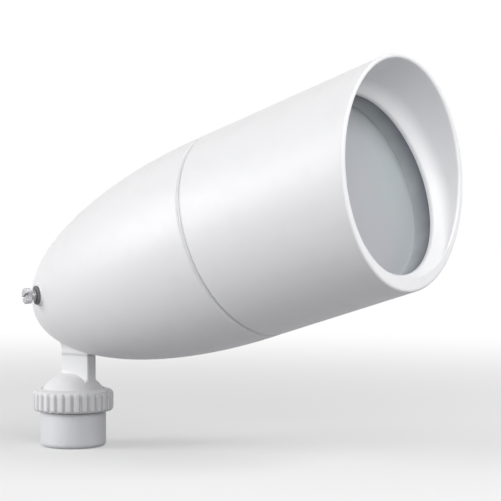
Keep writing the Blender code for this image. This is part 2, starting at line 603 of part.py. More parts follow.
def make_lens():
    """Frosted tempered lens, its front slightly crowned, between gasket, cushion and snap ring."""
    back = LENS_FRONT - LENS_THICKNESS
    turned("lens", [(0.0, LENS_FRONT + LENS_CROWN), (LENS_RADIUS / 2, LENS_FRONT + LENS_CROWN * 0.75),
                    (GASKET_BORE_RADIUS - MM, LENS_FRONT), (LENS_RADIUS, LENS_FRONT),
                    (LENS_RADIUS, back), (0.0, back)], OPTIC, FROSTED_GLASS, closed=False)
    outer = LENS_SEAT_RADIUS - GAP
    turned("lens_gasket", [(outer, RING_BORE_BACK - GAP), (outer, LENS_FRONT + GAP),
                           (GASKET_BORE_RADIUS, LENS_FRONT + GAP),
                           (GASKET_BORE_RADIUS, RING_BORE_BACK - GAP)], OPTIC, GREY_SILICONE)
    cushion_front = back - GAP
    cushion_back = cushion_front - CUSHION_THICKNESS
    turned("lens_cushion", [(LENS_RADIUS, cushion_front), (LENS_RADIUS, cushion_back),
                            (GASKET_BORE_RADIUS, cushion_back), (GASKET_BORE_RADIUS, cushion_front)],
           OPTIC, GREY_SILICONE)
    ring_front = cushion_back - GAP
    outer = SNAP_RING_GROOVE_RADIUS - GAP
    ring = turned("lens_retaining_ring",
                  [(outer, ring_front), (outer, ring_front - SNAP_RING_HEIGHT),
                   (SNAP_RING_INNER_RADIUS, ring_front - SNAP_RING_HEIGHT),
                   (SNAP_RING_INNER_RADIUS, ring_front)], OPTIC, STEEL)
    cut(ring, block("snap_ring_mouth", (8 * MM, SNAP_RING_MOUTH, 8 * MM),
                    (-LENS_RADIUS, 0, ring_front - SNAP_RING_HEIGHT / 2), OPTIC))


def make_rear_screw():
    """Slotted thumb screw, sealing washer and inner nut, on the housing's right side."""
    washer_in = REAR_BOSS_OUT - GAP
    washer_out = washer_in - REAR_WASHER_THICKNESS
    bore = REAR_SHANK_RADIUS + GAP
    edge = 0.5 * MM
    turned("rear_washer", [(REAR_WASHER_RADIUS, washer_in), (REAR_WASHER_RADIUS, washer_out + edge),
                           (REAR_WASHER_RADIUS - edge, washer_out), (bore, washer_out),
                           (bore, washer_in)], REAR_PLACE, DARK_RUBBER, SMALL_STEPS)
    flange_in = washer_out - GAP
    flange_out = flange_in - REAR_FLANGE_HEIGHT
    neck_out = flange_out - REAR_NECK_HEIGHT
    head_out = neck_out - REAR_HEAD_HEIGHT
    nut_out = BRACKET_DEPTH + BRACKET_THICKNESS / 2 + GAP
    nut_in = nut_out + REAR_NUT_HEIGHT
    shank_in = nut_in + 1.5 * MM
    screw = turned("rear_screw", [
        (0.0, shank_in), (REAR_SHANK_RADIUS, shank_in), (REAR_SHANK_RADIUS, flange_in),
        (REAR_FLANGE_RADIUS, flange_in), (REAR_FLANGE_RADIUS, flange_out),
        (REAR_NECK_RADIUS, flange_out), (REAR_NECK_RADIUS, neck_out), (REAR_HEAD_RADIUS, neck_out),
        (REAR_HEAD_RADIUS, head_out + 0.8 * MM), (REAR_HEAD_RADIUS - 0.8 * MM, head_out),
        (0.0, head_out)], REAR_PLACE, STEEL, SMALL_STEPS, closed=False)
    cut(screw, block("rear_screw_slot", (4 * REAR_HEAD_RADIUS, DRIVE_SLOT_WIDTH, 4 * MM),
                     (0, 0, head_out), REAR_PLACE))
    nut = rod("rear_nut", REAR_NUT_RADIUS, nut_out, nut_in, REAR_PLACE, STEEL, sides=6)
    cut(nut, rod("rear_nut_bore", bore, nut_out - MM, nut_in + MM, REAR_PLACE, sides=HOLE_STEPS))


def make_bracket():
    """Plate bent twice: an ear at the rear screw, a side, and a leaf behind the lampholder."""
    outward = Vector((math.cos(REAR_LEAN), -math.sin(REAR_LEAN)))
    forward = Vector((-outward.y, outward.x))
    middle = Vector((REAR_RADIUS, REAR_POSITION)) - outward * BRACKET_DEPTH
    ear_back = middle - forward * BRACKET_EAR_BACK
    ear_front = middle + forward * BRACKET_EAR_FRONT
    path = [ear_back, ear_front, (ear_front.x, BRACKET_FRONT), (BRACKET_END, BRACKET_FRONT)]
    shape = bmesh.new()
    rows = []
    for x, z in path:
        rows.append([shape.verts.new((x, y, z)) for y in (-BRACKET_HALF_WIDTH, BRACKET_HALF_WIDTH)])
    for row, following in zip(rows, rows[1:]):
        shape.faces.new((row[0], row[1], following[1], following[0]))
    bracket = from_bmesh("lampholder_bracket", shape, REAR_SIDE, STEEL)
    sheet = bracket.modifiers.new("sheet", "SOLIDIFY")
    sheet.thickness = BRACKET_THICKNESS
    sheet.offset = 0.0
    sheet.use_even_offset = True
    cut(bracket, rod("bracket_screw_hole", REAR_SHANK_RADIUS + GAP, BRACKET_DEPTH - 2 * MM,
                     BRACKET_DEPTH + 2 * MM, REAR_PLACE, sides=HOLE_STEPS))
    back = BRACKET_FRONT - 2 * MM
    front = BRACKET_FRONT + 2 * MM
    for x in (-HOLDER_SCREW_SPACING / 2, HOLDER_SCREW_SPACING / 2, GROUND_SCREW_ASIDE):
        cut(bracket, rod("bracket_small_hole", HOLDER_SCREW_RADIUS + GAP, back, front, REAR_SIDE,
                         sides=12, x=x))
    cut(bracket, rod("bracket_lead_hole", LEAD_HOLE_RADIUS, back, front, OPTIC, sides=SMALL_STEPS,
                     x=LEAD_HOLE_DROP))


def make_ground_screw():
    """Green screw in the bracket's front leaf, with the end of the green lead beside it."""
    end = BRACKET_FRONT + GROUND_SCREW_REACH
    seat = BRACKET_FRONT - BRACKET_THICKNESS / 2 - GAP
    top = seat - GROUND_HEAD_HEIGHT
    profile = [(0.0, end), (HOLDER_SCREW_RADIUS, end), (HOLDER_SCREW_RADIUS, seat),
               (GROUND_HEAD_RADIUS, seat), (GROUND_HEAD_RADIUS, top), (0.0, top)]
    turned("ground_screw", profile, REAR_SIDE @ Matrix.Translation((GROUND_SCREW_ASIDE, 0, 0)),
           GREEN_STEEL, SMALL_STEPS, closed=False)


def make_lampholder():
    """Porcelain body, brass shell, centre contact and the two screws that hold the body."""
    body = turned("lampholder", [
        (0.0, HOLDER_CAVITY_BACK), (HOLDER_CAVITY_RADIUS, HOLDER_CAVITY_BACK),
        (HOLDER_CAVITY_RADIUS, HOLDER_FRONT), (HOLDER_RADIUS - MM, HOLDER_FRONT),
        (HOLDER_RADIUS, HOLDER_FRONT - MM), (HOLDER_RADIUS, HOLDER_SHOULDER),
        (HOLDER_NECK_RADIUS, HOLDER_NECK), (HOLDER_NECK_RADIUS, HOLDER_BACK + HOLDER_CHAMFER),
        (HOLDER_NECK_RADIUS - HOLDER_CHAMFER, HOLDER_BACK), (0.0, HOLDER_BACK)],
        OPTIC, PORCELAIN, BRASS_STEPS, closed=False)
    head_front = BRACKET_FRONT - BRACKET_THICKNESS / 2 - GAP
    head_back = head_front - HOLDER_SCREW_HEAD_HEIGHT
    tip = HOLDER_BACK + HOLDER_SCREW_DEPTH
    screw = [(0.0, tip), (HOLDER_SCREW_RADIUS, tip), (HOLDER_SCREW_RADIUS, head_front),
             (HOLDER_SCREW_HEAD_RADIUS, head_front), (HOLDER_SCREW_HEAD_RADIUS, head_back),
             (0.0, head_back)]
    for name, side in (("lampholder_screw_right", 1), ("lampholder_screw_left", -1)):
        x = side * HOLDER_SCREW_SPACING / 2
        cut(body, rod("holder_screw_seat", HOLDER_SCREW_RADIUS + GAP, HOLDER_BACK - MM, tip + GAP,
                      REAR_SIDE, sides=12, x=x))
        place = REAR_SIDE @ Matrix.Translation((x, 0, 0))
        turned(name, screw, place, STEEL, 12, closed=False)
    inner = SHELL_RADIUS - SHELL_WALL
    floor = SHELL_BACK + SHELL_WALL
    turned("screw_shell", [(SHELL_RADIUS, SHELL_FRONT), (SHELL_RADIUS, SHELL_BACK),
                           (CONTACT_CLEARANCE_RADIUS, SHELL_BACK), (CONTACT_CLEARANCE_RADIUS, floor),
                           (inner, floor), (inner, SHELL_FRONT)], OPTIC, BRASS, BRASS_STEPS)
    contact_back = HOLDER_CAVITY_BACK + GAP
    turned("centre_contact", [(0.0, LAMP_TIP - GAP), (CONTACT_RADIUS * 0.6, LAMP_TIP - GAP),
                              (CONTACT_RADIUS, LAMP_TIP - MM), (CONTACT_RADIUS, contact_back),
                              (0.0, contact_back)], OPTIC, BRASS, SMALL_STEPS, closed=False)


def make_lamp():
    """PAR38 lamp: mirrored reflector, moulded face, screw base, insulator and solder contact."""
    depth = LAMP_FACE - LAMP_NECK_BACK
    inner = []
    outer = []
    for i in range(8):
        along = i / 7
        swell = math.sqrt(along)
        position = LAMP_NECK_BACK + depth * along
        radius = LAMP_NECK_RADIUS + (LAMP_RADIUS - LAMP_NECK_RADIUS) * swell
        outer.append((radius, position))
        inner.append((radius - LAMP_GLASS, position + LAMP_GLASS * (1 - along)))
    turned("lamp_reflector", list(reversed(outer)) + inner, OPTIC, MIRRORED_GLASS)
    front = LAMP_FACE + GAP
    face = [(0.0, front + LAMP_CROWN)]
    for i in range(1, 5):
        angle = math.pi / 2 * i / 4
        face.append((LAMP_RADIUS * math.sin(angle), front + LAMP_GLASS + (LAMP_CROWN - LAMP_GLASS)
                     * math.cos(angle)))
    face += [(LAMP_RADIUS, front), (0.0, front)]
    turned("lamp_face", face, OPTIC, FROSTED_GLASS, closed=False)
    collar_radius = LAMP_NECK_RADIUS - 0.5 * MM
    collar_front = LAMP_NECK_BACK - GAP
    collar_back = collar_front - LAMP_COLLAR_LENGTH
    turned("lamp_base", [(0.0, collar_front), (collar_radius, collar_front),
                         (collar_radius, collar_back), (LAMP_BASE_RADIUS, collar_back - 2 * MM),
                         (LAMP_BASE_RADIUS, LAMP_BASE_BACK), (0.0, LAMP_BASE_BACK)],
           OPTIC, BRASS, BRASS_STEPS, closed=False)
    insulator_front = LAMP_BASE_BACK - GAP
    insulator_back = LAMP_BASE_BACK - INSULATOR_LENGTH
    turned("lamp_insulator", [(0.0, insulator_front), (LAMP_BASE_RADIUS - MM, insulator_front),
                              (CONTACT_RADIUS + 1.5 * MM, insulator_back), (0.0, insulator_back)],
           OPTIC, BLACK_GLASS, BRASS_STEPS, closed=False)
    contact_front = insulator_back - GAP
    turned("lamp_contact", [(0.0, contact_front), (CONTACT_RADIUS, contact_front),
                            (CONTACT_RADIUS * 0.7, LAMP_TIP), (0.0, LAMP_TIP)],
           OPTIC, SOLDER, SMALL_STEPS, closed=False)


def make_leads():
    """Three insulated leads: two from the lampholder, one from the ground screw, into the arm."""
    beside = GROUND_SCREW_ASIDE - GROUND_HEAD_RADIUS - LEAD_RADIUS - 0.5 * MM
    ground = REAR_SIDE @ Vector((beside, 0, BRACKET_FRONT - BRACKET_THICKNESS - 0.5 * MM))
    leads = (
        ("lead_black", BLACK_INSULATION, OPTIC @ Vector((0.5 * MM, -2.6 * MM, HOLDER_BACK - GAP)),
         (-1.6 * MM, -1.3 * MM), ()),
        ("lead_white", WHITE_INSULATION, OPTIC @ Vector((0.5 * MM, 2.6 * MM, HOLDER_BACK - GAP)),
         (-1.6 * MM, 1.3 * MM), ()),
        ("lead_green", GREEN_INSULATION, ground, (1.7 * MM, 0.0), (GROUND_LEAD_CORNER,)),
    )
    for name, finish, first, (shift_x, shift_y), corners in leads:
        backward = OPTIC.to_3x3() @ Vector((0, 0, -1))
        x = STEM_OFFSET + shift_x
        way = [first, first + backward * LEAD_RUN, *corners, Vector((x, shift_y, LEAD_BEND)),
               Vector((x, shift_y, PAD_TOP)), Vector((x, shift_y, STEM_TOP)),
               Vector((x, shift_y, LEAD_END))]
        tube(name, way, LEAD_RADIUS, finish)


def tube(name, way, radius, finish):
    """A round lead along a smooth curve through the points of its way."""
    curve = bpy.data.curves.new(name, "CURVE")
    curve.dimensions = "3D"
    curve.bevel_depth = radius
    curve.bevel_resolution = 1
    curve.use_fill_caps = True
    points = smooth_way(way, 3)
    line = curve.splines.new("POLY")
    line.points.add(len(points) - 1)
    for point, place in zip(line.points, points):
        point.co = (*place, 1.0)
    place_mesh(name, curve, UPRIGHT, finish)


def smooth_way(way, steps):
    """Points of a Catmull-Rom curve through the way."""
    ends = [way[0] * 2 - way[1]] + list(way) + [way[-1] * 2 - way[-2]]
    points = []
    for before, start, end, after in zip(ends, ends[1:], ends[2:], ends[3:]):
        for i in range(steps):
            t = i / steps
            points.append(0.5 * (2 * start + (end - before) * t
                                 + (2 * before - 5 * start + 4 * end - after) * t ** 2
                                 + (3 * start - before - 3 * end + after) * t ** 3))
    points.append(way[-1])
    return points


def hang_moving_pieces():
    """Hang each moving piece on an empty that sits on its joint's axis."""
    axes = {}
    for name, parent, place, pieces in MOVING:
        axis = bpy.data.objects.new(name, None)
        axis.matrix_world = place
        PARTS.objects.link(axis)
        if parent:
            hang(axis, axes[parent])
        for piece in pieces:
            hang(bpy.data.objects[piece], axis)
        axes[name] = axis


def main():
    """Build every piece."""
    make_hub()
    make_nut_seal()
    make_nut()
    make_liner()
    make_arm()
    make_arm_gasket()
    make_arm_screws()
    make_rear_housing()
    make_hood_lock_screw()
    make_hood()
    make_seam_gasket()
    make_lens()
    make_rear_screw()
    make_bracket()
    make_ground_screw()
    make_lampholder()
    make_lamp()
    make_leads()
    hang_moving_pieces()


clear_scene()
PARTS = new_collection("landscape_floodlight")
CUTTERS = new_collection("cutters")
main()
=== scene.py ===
# %% [markdown]
# # A landscape floodlight, dressed around its CAD frame
# The frame is a set of plain solids that already sit in the right place. This lesson puts a finely
# curved surface over each solid that shows, gives every solid a worked-out finish, and lights the
# result the way the photograph was lit. Everything is in metres, with +Z up, and the lamp looks
# along +X and a little upwards.

# %% Load the frame
import json
import math

import bmesh
import bpy
import numpy as np
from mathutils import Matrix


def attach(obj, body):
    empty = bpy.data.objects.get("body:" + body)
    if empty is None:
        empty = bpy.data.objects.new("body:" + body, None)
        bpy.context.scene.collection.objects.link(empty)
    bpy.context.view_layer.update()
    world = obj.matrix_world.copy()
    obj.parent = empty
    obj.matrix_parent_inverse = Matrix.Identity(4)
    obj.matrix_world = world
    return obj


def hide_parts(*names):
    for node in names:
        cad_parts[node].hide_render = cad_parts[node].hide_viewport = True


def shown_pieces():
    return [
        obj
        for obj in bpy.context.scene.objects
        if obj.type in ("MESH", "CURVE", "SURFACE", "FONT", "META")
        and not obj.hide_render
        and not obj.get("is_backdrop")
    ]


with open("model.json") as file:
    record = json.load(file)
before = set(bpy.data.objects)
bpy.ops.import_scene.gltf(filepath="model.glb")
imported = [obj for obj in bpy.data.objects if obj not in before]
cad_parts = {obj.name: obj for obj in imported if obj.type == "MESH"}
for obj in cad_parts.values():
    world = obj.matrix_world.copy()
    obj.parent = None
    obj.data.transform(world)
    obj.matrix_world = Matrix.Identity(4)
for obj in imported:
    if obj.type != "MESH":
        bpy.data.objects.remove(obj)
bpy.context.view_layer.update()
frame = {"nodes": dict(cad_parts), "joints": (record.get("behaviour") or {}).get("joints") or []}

MM = 0.001
NODES = frame["nodes"]

# %% [markdown]
# ## Two ways to say where something is
# The hub, the nut and the arm stand upright, so world coordinates suit them. The housing, the hood
# and the lamp are turned about the tilted optical axis, so they get a frame of their own: its origin
# is the middle of the seam between hood and housing, +Z points forward along the beam, +X points
# down and +Y to the lamp's left. Both come from the joints of the CAD frame, so nothing is fitted
# by eye.

# %% The optical frame
JOINTS = {joint["name"]: joint for joint in frame["joints"]}
SEAM_CENTRE = np.array(JOINTS["lamp_unscrew"]["pos_m"])
FORWARD = np.array(JOINTS["hood_slide"]["axis"])
SIDE = np.array([0.0, 1.0, 0.0])
DOWN = np.cross(SIDE, FORWARD)
SWIVEL_HEIGHT = JOINTS["tilt"]["pos_m"][2]

UPRIGHT = np.eye(4)
OPTIC = np.eye(4)
OPTIC[:3, 0] = DOWN
OPTIC[:3, 1] = SIDE
OPTIC[:3, 2] = FORWARD
OPTIC[:3, 3] = SEAM_CENTRE


def placed(points, place):
    """Turn local points into world points: the place's matrix times each point."""
    return points @ place[:3, :3].T + place[:3, 3]


def reach(node, place=OPTIC):
    """Lowest height, highest height and largest radius of a node about a frame's Z axis."""
    mesh = NODES[node].data
    corners = np.empty(len(mesh.vertices) * 3)
    mesh.vertices.foreach_get("co", corners)
    local = (corners.reshape(-1, 3) - place[:3, 3]) @ place[:3, :3]
    return local[:, 2].min(), local[:, 2].max(), np.hypot(local[:, 0], local[:, 1]).max()


print("optical axis tilts up by %.1f degrees" % math.degrees(math.asin(FORWARD[2])))

# %% [markdown]
# ## The camera
# The photograph was taken from a little above the lamp's level, from its right side and in front, with
# a long lens: the far side of the hood looks hardly smaller than the near side. A camera 1.3 m away
# with a narrow view does the same.

# %% Camera
CAMERA_TURN = math.radians(35.5)         # how far the picture's rightward direction turns from +X
CAMERA_RISE = math.radians(2.0)          # how far the camera looks down
CAMERA_DISTANCE = 1.3
CAMERA_ASIDE = 1.95 * MM                 # from the seam's middle, to the picture's right
CAMERA_BELOW = 11.3 * MM
FOCAL_PIXELS = 2000.0
PICTURE_PIXELS = 501
SENSOR_MM = 36.0

right = np.array([math.cos(CAMERA_TURN), math.sin(CAMERA_TURN), 0.0])
back = np.array([math.sin(CAMERA_TURN) * math.cos(CAMERA_RISE),
                 -math.cos(CAMERA_TURN) * math.cos(CAMERA_RISE), math.sin(CAMERA_RISE)])
up = np.cross(back, right)
camera_place = np.eye(4)
camera_place[:3, 0] = right
camera_place[:3, 1] = up
camera_place[:3, 2] = back
camera_place[:3, 3] = SEAM_CENTRE + right * CAMERA_ASIDE - up * CAMERA_BELOW + back * CAMERA_DISTANCE

camera_data = bpy.data.cameras.new("camera")
camera_data.sensor_width = SENSOR_MM
camera_data.lens = SENSOR_MM * FOCAL_PIXELS / PICTURE_PIXELS
camera = bpy.data.objects.new("camera", camera_data)
camera.matrix_world = camera_place.T.tolist()
bpy.context.scene.collection.objects.link(camera)
bpy.context.scene.camera = camera
print("camera: %.1f mm lens at %.2f m" % (camera_data.lens, CAMERA_DISTANCE))

# %% [markdown]
# ## From a grid of points to a piece
# Each surface below is a grid: one direction runs round the piece, the other along its profile. numpy
# works out all the points at once, and the faces are the grid's cells. Where a row of points shrinks
# to one point on the axis, or the last column meets the first, the doubles are merged, so that each
# piece is one closed skin with its faces outwards.

# %% Putting a grid into a mesh
MERGE = 0.002 * MM                       # points nearer to each other than this become one
SHARP = math.radians(32.0)


def grid_faces(rows, columns, closed_rows, closed_columns):
    """Corner numbers of a grid's cells; a closed direction joins its last line to its first."""
    row = np.arange(rows if closed_rows else rows - 1)[:, None]
    column = np.arange(columns if closed_columns else columns - 1)[None, :]
    next_row = (row + 1) % rows
    next_column = (column + 1) % columns
    corners = (row * columns + column, next_row * columns + column,
               next_row * columns + next_column, row * columns + next_column)
    return np.stack(corners, axis=-1).reshape(-1, 4)


def skin(name, parts):
    """One mesh object from a list of (points, faces); doubles are merged and faces turned outwards."""
    points = []
    faces = []
    count = 0
    for part_points, part_faces in parts:
        part_points = np.asarray(part_points).reshape(-1, 3)
        points.append(part_points)
        faces.append(part_faces + count)
        count += len(part_points)
    mesh = bpy.data.meshes.new(name)
    mesh.from_pydata(np.concatenate(points).tolist(), [], np.concatenate(faces).tolist())
    shape = bmesh.new()
    shape.from_mesh(mesh)
    bmesh.ops.remove_doubles(shape, verts=shape.verts, dist=MERGE)
    bmesh.ops.dissolve_degenerate(shape, edges=shape.edges, dist=MERGE)
    bmesh.ops.recalc_face_normals(shape, faces=shape.faces)
    shape.to_mesh(mesh)
    shape.free()
    piece = bpy.data.objects.new(name, mesh)
    bpy.context.scene.collection.objects.link(piece)
    shade(piece)
    return piece


def shade(piece):
    """Smooth shading that breaks at real edges."""
    piece.data.shade_smooth()
    piece.data.set_sharp_from_angle(angle=SHARP)


# %% [markdown]
# ## Profiles with rounded corners
# No edge on a casting or a turned part is perfectly sharp, and it is the rounding that catches the
# light. A profile is written as its corners and the reach of the bend at each, and the bend is the
# parabola that touches both sides. The same function takes one profile, or one for each direction
# round the axis, which is what the slanted mouth of the hood needs.

# %% Rounding a profile
BEND = np.linspace(0.0, 1.0, 7)
RUN = np.array([0.04, 0.2, 0.4, 0.6, 0.8, 0.96])


def outline(corners, bends, closed=True):
    """Points of a profile with rounded corners.

    A bend of reach b at corner C starts at A = C + b * (unit vector to the corner before) and ends at
    B = C + b * (unit vector to the next); its points are (1-s)^2 A + 2 s (1-s) C + s^2 B. A reach is
    cut to half of the shorter side. The straight run after it is divided at fixed shares.
    """
    corners = np.asarray(corners, float)
    bends = np.broadcast_to(np.asarray(bends, float), corners.shape[:-1])
    to_last = np.roll(corners, 1, axis=-2) - corners
    to_next = np.roll(corners, -1, axis=-2) - corners
    last_length = np.linalg.norm(to_last, axis=-1)
    next_length = np.linalg.norm(to_next, axis=-1)
    tiny = 1e-9
    bend = np.minimum(bends, 0.49 * np.minimum(last_length, next_length))
    if not closed:
        bend = bend.copy()
        bend[..., 0] = 0.0
        bend[..., -1] = 0.0
    start = corners + to_last * (bend / np.maximum(last_length, tiny))[..., None]
    end = corners + to_next * (bend / np.maximum(next_length, tiny))[..., None]
    s = BEND[:, None]
    bent = ((1 - s) ** 2 * start[..., None, :] + 2 * s * (1 - s) * corners[..., None, :]
            + s ** 2 * end[..., None, :])
    following = np.roll(start, -1, axis=-2)
    run = end[..., None, :] + RUN[:, None] * (following - end)[..., None, :]
    pieces = np.concatenate([bent, run], axis=-2)
    flat = pieces.reshape(*pieces.shape[:-3], -1, 2)
    if closed:
        return flat
    return flat[..., :-len(RUN), :]


def round_axis(profile, place, steps, closed=True):
    """(points, faces) of a profile turned about a place's Z: x = r cos(a), y = r sin(a), z = height.

    The profile is one list of (radius, height), or one list for each of the steps.
    """
    angle = np.linspace(0.0, 2 * math.pi, steps, endpoint=False)[:, None]
    profile = np.broadcast_to(profile, (steps,) + np.shape(profile)[-2:])
    radius = profile[..., 0]
    points = np.stack([radius * np.cos(angle), radius * np.sin(angle), profile[..., 1]], axis=-1)
    faces = grid_faces(steps, profile.shape[1], True, closed)
    return placed(points.reshape(-1, 3), place), faces


def turned(name, corners, bends, place=OPTIC, steps=144, closed=True):
    """A turned piece from rounded corners."""
    return skin(name, [round_axis(outline(corners, bends, closed), place, steps, closed)])


# %% [markdown]
# ## The hood
# On the real light the hood is one casting: a slightly flared tube, a seat for the lens, and in front
# of the lens a ring that flares forwards into the wall. Half of the shallow groove at the seam is in
# its edge, and the other half in the housing's. Its mouth is cut on a slant, so the top stands
# out further than the bottom. Turning a profile alone can't make the slant, so each direction round
# the axis gets its own profile, which ends where it meets the slanted plane. At the bottom that plane
# cuts through the ring's flare, as the photograph shows.

# %% Hood
SEAM_RADIUS = 69.2 * MM
HOOD_TAPER = 0.018
SEAM_GAP = 0.3 * MM
GROOVE_AHEAD = 2.0 * MM                  # reach of the shallow groove at the seam, into the hood
GROOVE_BEHIND = 2.1 * MM                 # and into the housing
SEAM_DEPTH = 0.9 * MM
GROOVE_FLANK = 0.9 * MM                  # how far along the beam each flank of the groove runs
RIM_CENTRE = 125.6 * MM
RIM_SLANT = math.radians(14.2)
RIM_INNER_RADIUS = 66.8 * MM
RING_BORE_RADIUS = 59.2 * MM
RING_BORE_FRONT = 105.0 * MM
RING_BORE_BACK = 102.5 * MM
RING_EDGE_RADIUS = 65.0 * MM
RING_EDGE = 112.0 * MM
HOOD_BORE_RADIUS = 66.0 * MM
LENS_SEAT_RADIUS = 64.0 * MM
LENS_BACK, LENS_TOP, LENS_RADIUS = reach("lens")
LENS_CROWN = 1.6 * MM                    # how far the middle of the lens stands out
LENS_FRONT = LENS_TOP - LENS_CROWN
SPIGOT_END, _, _ = reach("hood")
SPIGOT_RADIUS = 65.4 * MM
SPIGOT_BORE_RADIUS = 62.4 * MM
SNAP_BACK, SNAP_FRONT, SNAP_RADIUS = reach("lens_retaining_ring")
SEAL_BACK, SEAL_FRONT, SEAL_RADIUS = reach("seam_gasket")
GAP = 0.3 * MM
HOOD_STEPS = 192


def hood_corners(angle):
    """Corners of the hood's profile in each direction, with the reach of each bend.

    The mouth is the plane height = RIM_CENTRE - tan(slant) * radius * cos(angle). The outer wall is
    radius = SEAM_RADIUS + taper * height, and the inner wall and the flare are straight lines too, so
    each meets the plane where (start - slope * height) leaves nothing over.
    """
    lean = math.tan(RIM_SLANT) * np.cos(angle)

    def on_mouth(radius, height, growth):
        """Where the line through (radius, height) that widens by growth per unit meets the mouth."""
        z = (RIM_CENTRE - lean * (radius - growth * height)) / (1 + lean * growth)
        return np.stack([radius + growth * (z - height), z], axis=-1)

    def fixed(radius, height):
        """The same corner in every direction."""
        return np.broadcast_to([radius, height], (len(angle), 2))

    wall_growth = (RIM_INNER_RADIUS - RING_EDGE_RADIUS) / (RIM_CENTRE - RING_EDGE)
    flare_growth = (RING_EDGE_RADIUS - RING_BORE_RADIUS) / (RING_EDGE - RING_BORE_FRONT)
    outer_end = on_mouth(SEAM_RADIUS, 0.0, HOOD_TAPER)
    inner_end = on_mouth(RING_EDGE_RADIUS, RING_EDGE, wall_growth)
    flare_end = on_mouth(RING_BORE_RADIUS, RING_BORE_FRONT, flare_growth)
    cut_flare = (flare_end[:, 1] < RING_EDGE)[:, None]
    inner_end = np.where(cut_flare, flare_end, inner_end)
    flare_edge = np.where(cut_flare, flare_end, fixed(RING_EDGE_RADIUS, RING_EDGE))
    seal_middle = (SEAL_BACK + SEAL_FRONT) / 2
    groove_half = (SEAL_FRONT - SEAL_BACK) / 2 + GAP
    groove_floor = SEAL_RADIUS - 2 * groove_half + GAP
    rows = [
        (outer_end, 1.9 * MM),
        (fixed(SEAM_RADIUS + HOOD_TAPER * GROOVE_AHEAD, GROOVE_AHEAD), 0.5 * MM),
        (fixed(SEAM_RADIUS - SEAM_DEPTH, GROOVE_AHEAD - GROOVE_FLANK), 0.5 * MM),
        (fixed(SEAM_RADIUS - SEAM_DEPTH, SEAM_GAP), 0.15 * MM),
        (fixed(SPIGOT_RADIUS, SEAM_GAP), 0.3 * MM),
        (fixed(SPIGOT_RADIUS, seal_middle + groove_half), 0.15 * MM),
        (fixed(groove_floor, seal_middle + groove_half), 0.15 * MM),
        (fixed(groove_floor, seal_middle - groove_half), 0.15 * MM),
        (fixed(SPIGOT_RADIUS, seal_middle - groove_half), 0.15 * MM),
        (fixed(SPIGOT_RADIUS, SPIGOT_END), 0.8 * MM),
        (fixed(SPIGOT_BORE_RADIUS, SPIGOT_END), 0.5 * MM),
        (fixed(SPIGOT_BORE_RADIUS, 2 * MM), 3.0 * MM),
        (fixed(HOOD_BORE_RADIUS, 8 * MM), 3.0 * MM),
        (fixed(HOOD_BORE_RADIUS, SNAP_BACK - 6 * MM), 2.0 * MM),
        (fixed(LENS_SEAT_RADIUS, SNAP_BACK - 3 * MM), 1.0 * MM),
        (fixed(LENS_SEAT_RADIUS, SNAP_BACK - GAP), 0.15 * MM),
        (fixed(SNAP_RADIUS + GAP, SNAP_BACK - GAP), 0.15 * MM),
        (fixed(SNAP_RADIUS + GAP, SNAP_FRONT + GAP), 0.15 * MM),
        (fixed(LENS_SEAT_RADIUS, SNAP_FRONT + GAP), 0.15 * MM),
        (fixed(LENS_SEAT_RADIUS, RING_BORE_BACK), 0.2 * MM),
        (fixed(RING_BORE_RADIUS, RING_BORE_BACK), 0.5 * MM),
        (fixed(RING_BORE_RADIUS, RING_BORE_FRONT), 1.2 * MM),
        (flare_edge, 4.5 * MM),
        (inner_end, 1.7 * MM),
    ]
    return np.stack([corner for corner, _ in rows], axis=1), [bend for _, bend in rows]


hood_angle = np.linspace(0.0, 2 * math.pi, HOOD_STEPS, endpoint=False)
hood = skin("hood_shell", [round_axis(outline(*hood_corners(hood_angle)), OPTIC, HOOD_STEPS)])
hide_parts("hood")
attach(hood, "hood")
print("hood:", len(hood.data.polygons), "faces")

# %% [markdown]
# ## Fillets where one casting grows out of another
# The pad under the housing, the stem of the arm and the boss on the housing's right side all grow out
# of a curved surface. Founders round such corners, because metal flows badly round sharp ones. A collar
# does it here: it follows an outline down to the body, widens there in a quarter circle that ends
# along the body's own surface, and dips into the wall, so that a Boolean union leaves no step. A
# straight side has points only at its ends, so there the collar's foot is flat across a round body. On
# the arm's thin cap it sags through the wall, out of sight: a fault that is left.

# %% Collars and unions
FILLET = np.linspace(0.0, math.pi / 2, 8)
EASE = 0.25 * MM                         # rounding of a free end
SINK = 0.6 * MM                          # how deep a collar dips into the wall, before its flat facets sag
SETTLE = 0.04 * MM                       # how far a fillet's foot starts below the surface


def obround(half_length, half_width, corner, centre, count=160):
    """Points and outward directions of a rectangle with round corners: arcs of one radius at four centres."""
    angle = (np.arange(count) + 0.5) / count * 2 * math.pi
    direction = np.stack([np.cos(angle), np.sin(angle)], axis=-1)
    middle = np.sign(direction) * np.array([half_length - corner, half_width - corner])
    return np.array(centre) + middle + corner * direction, direction


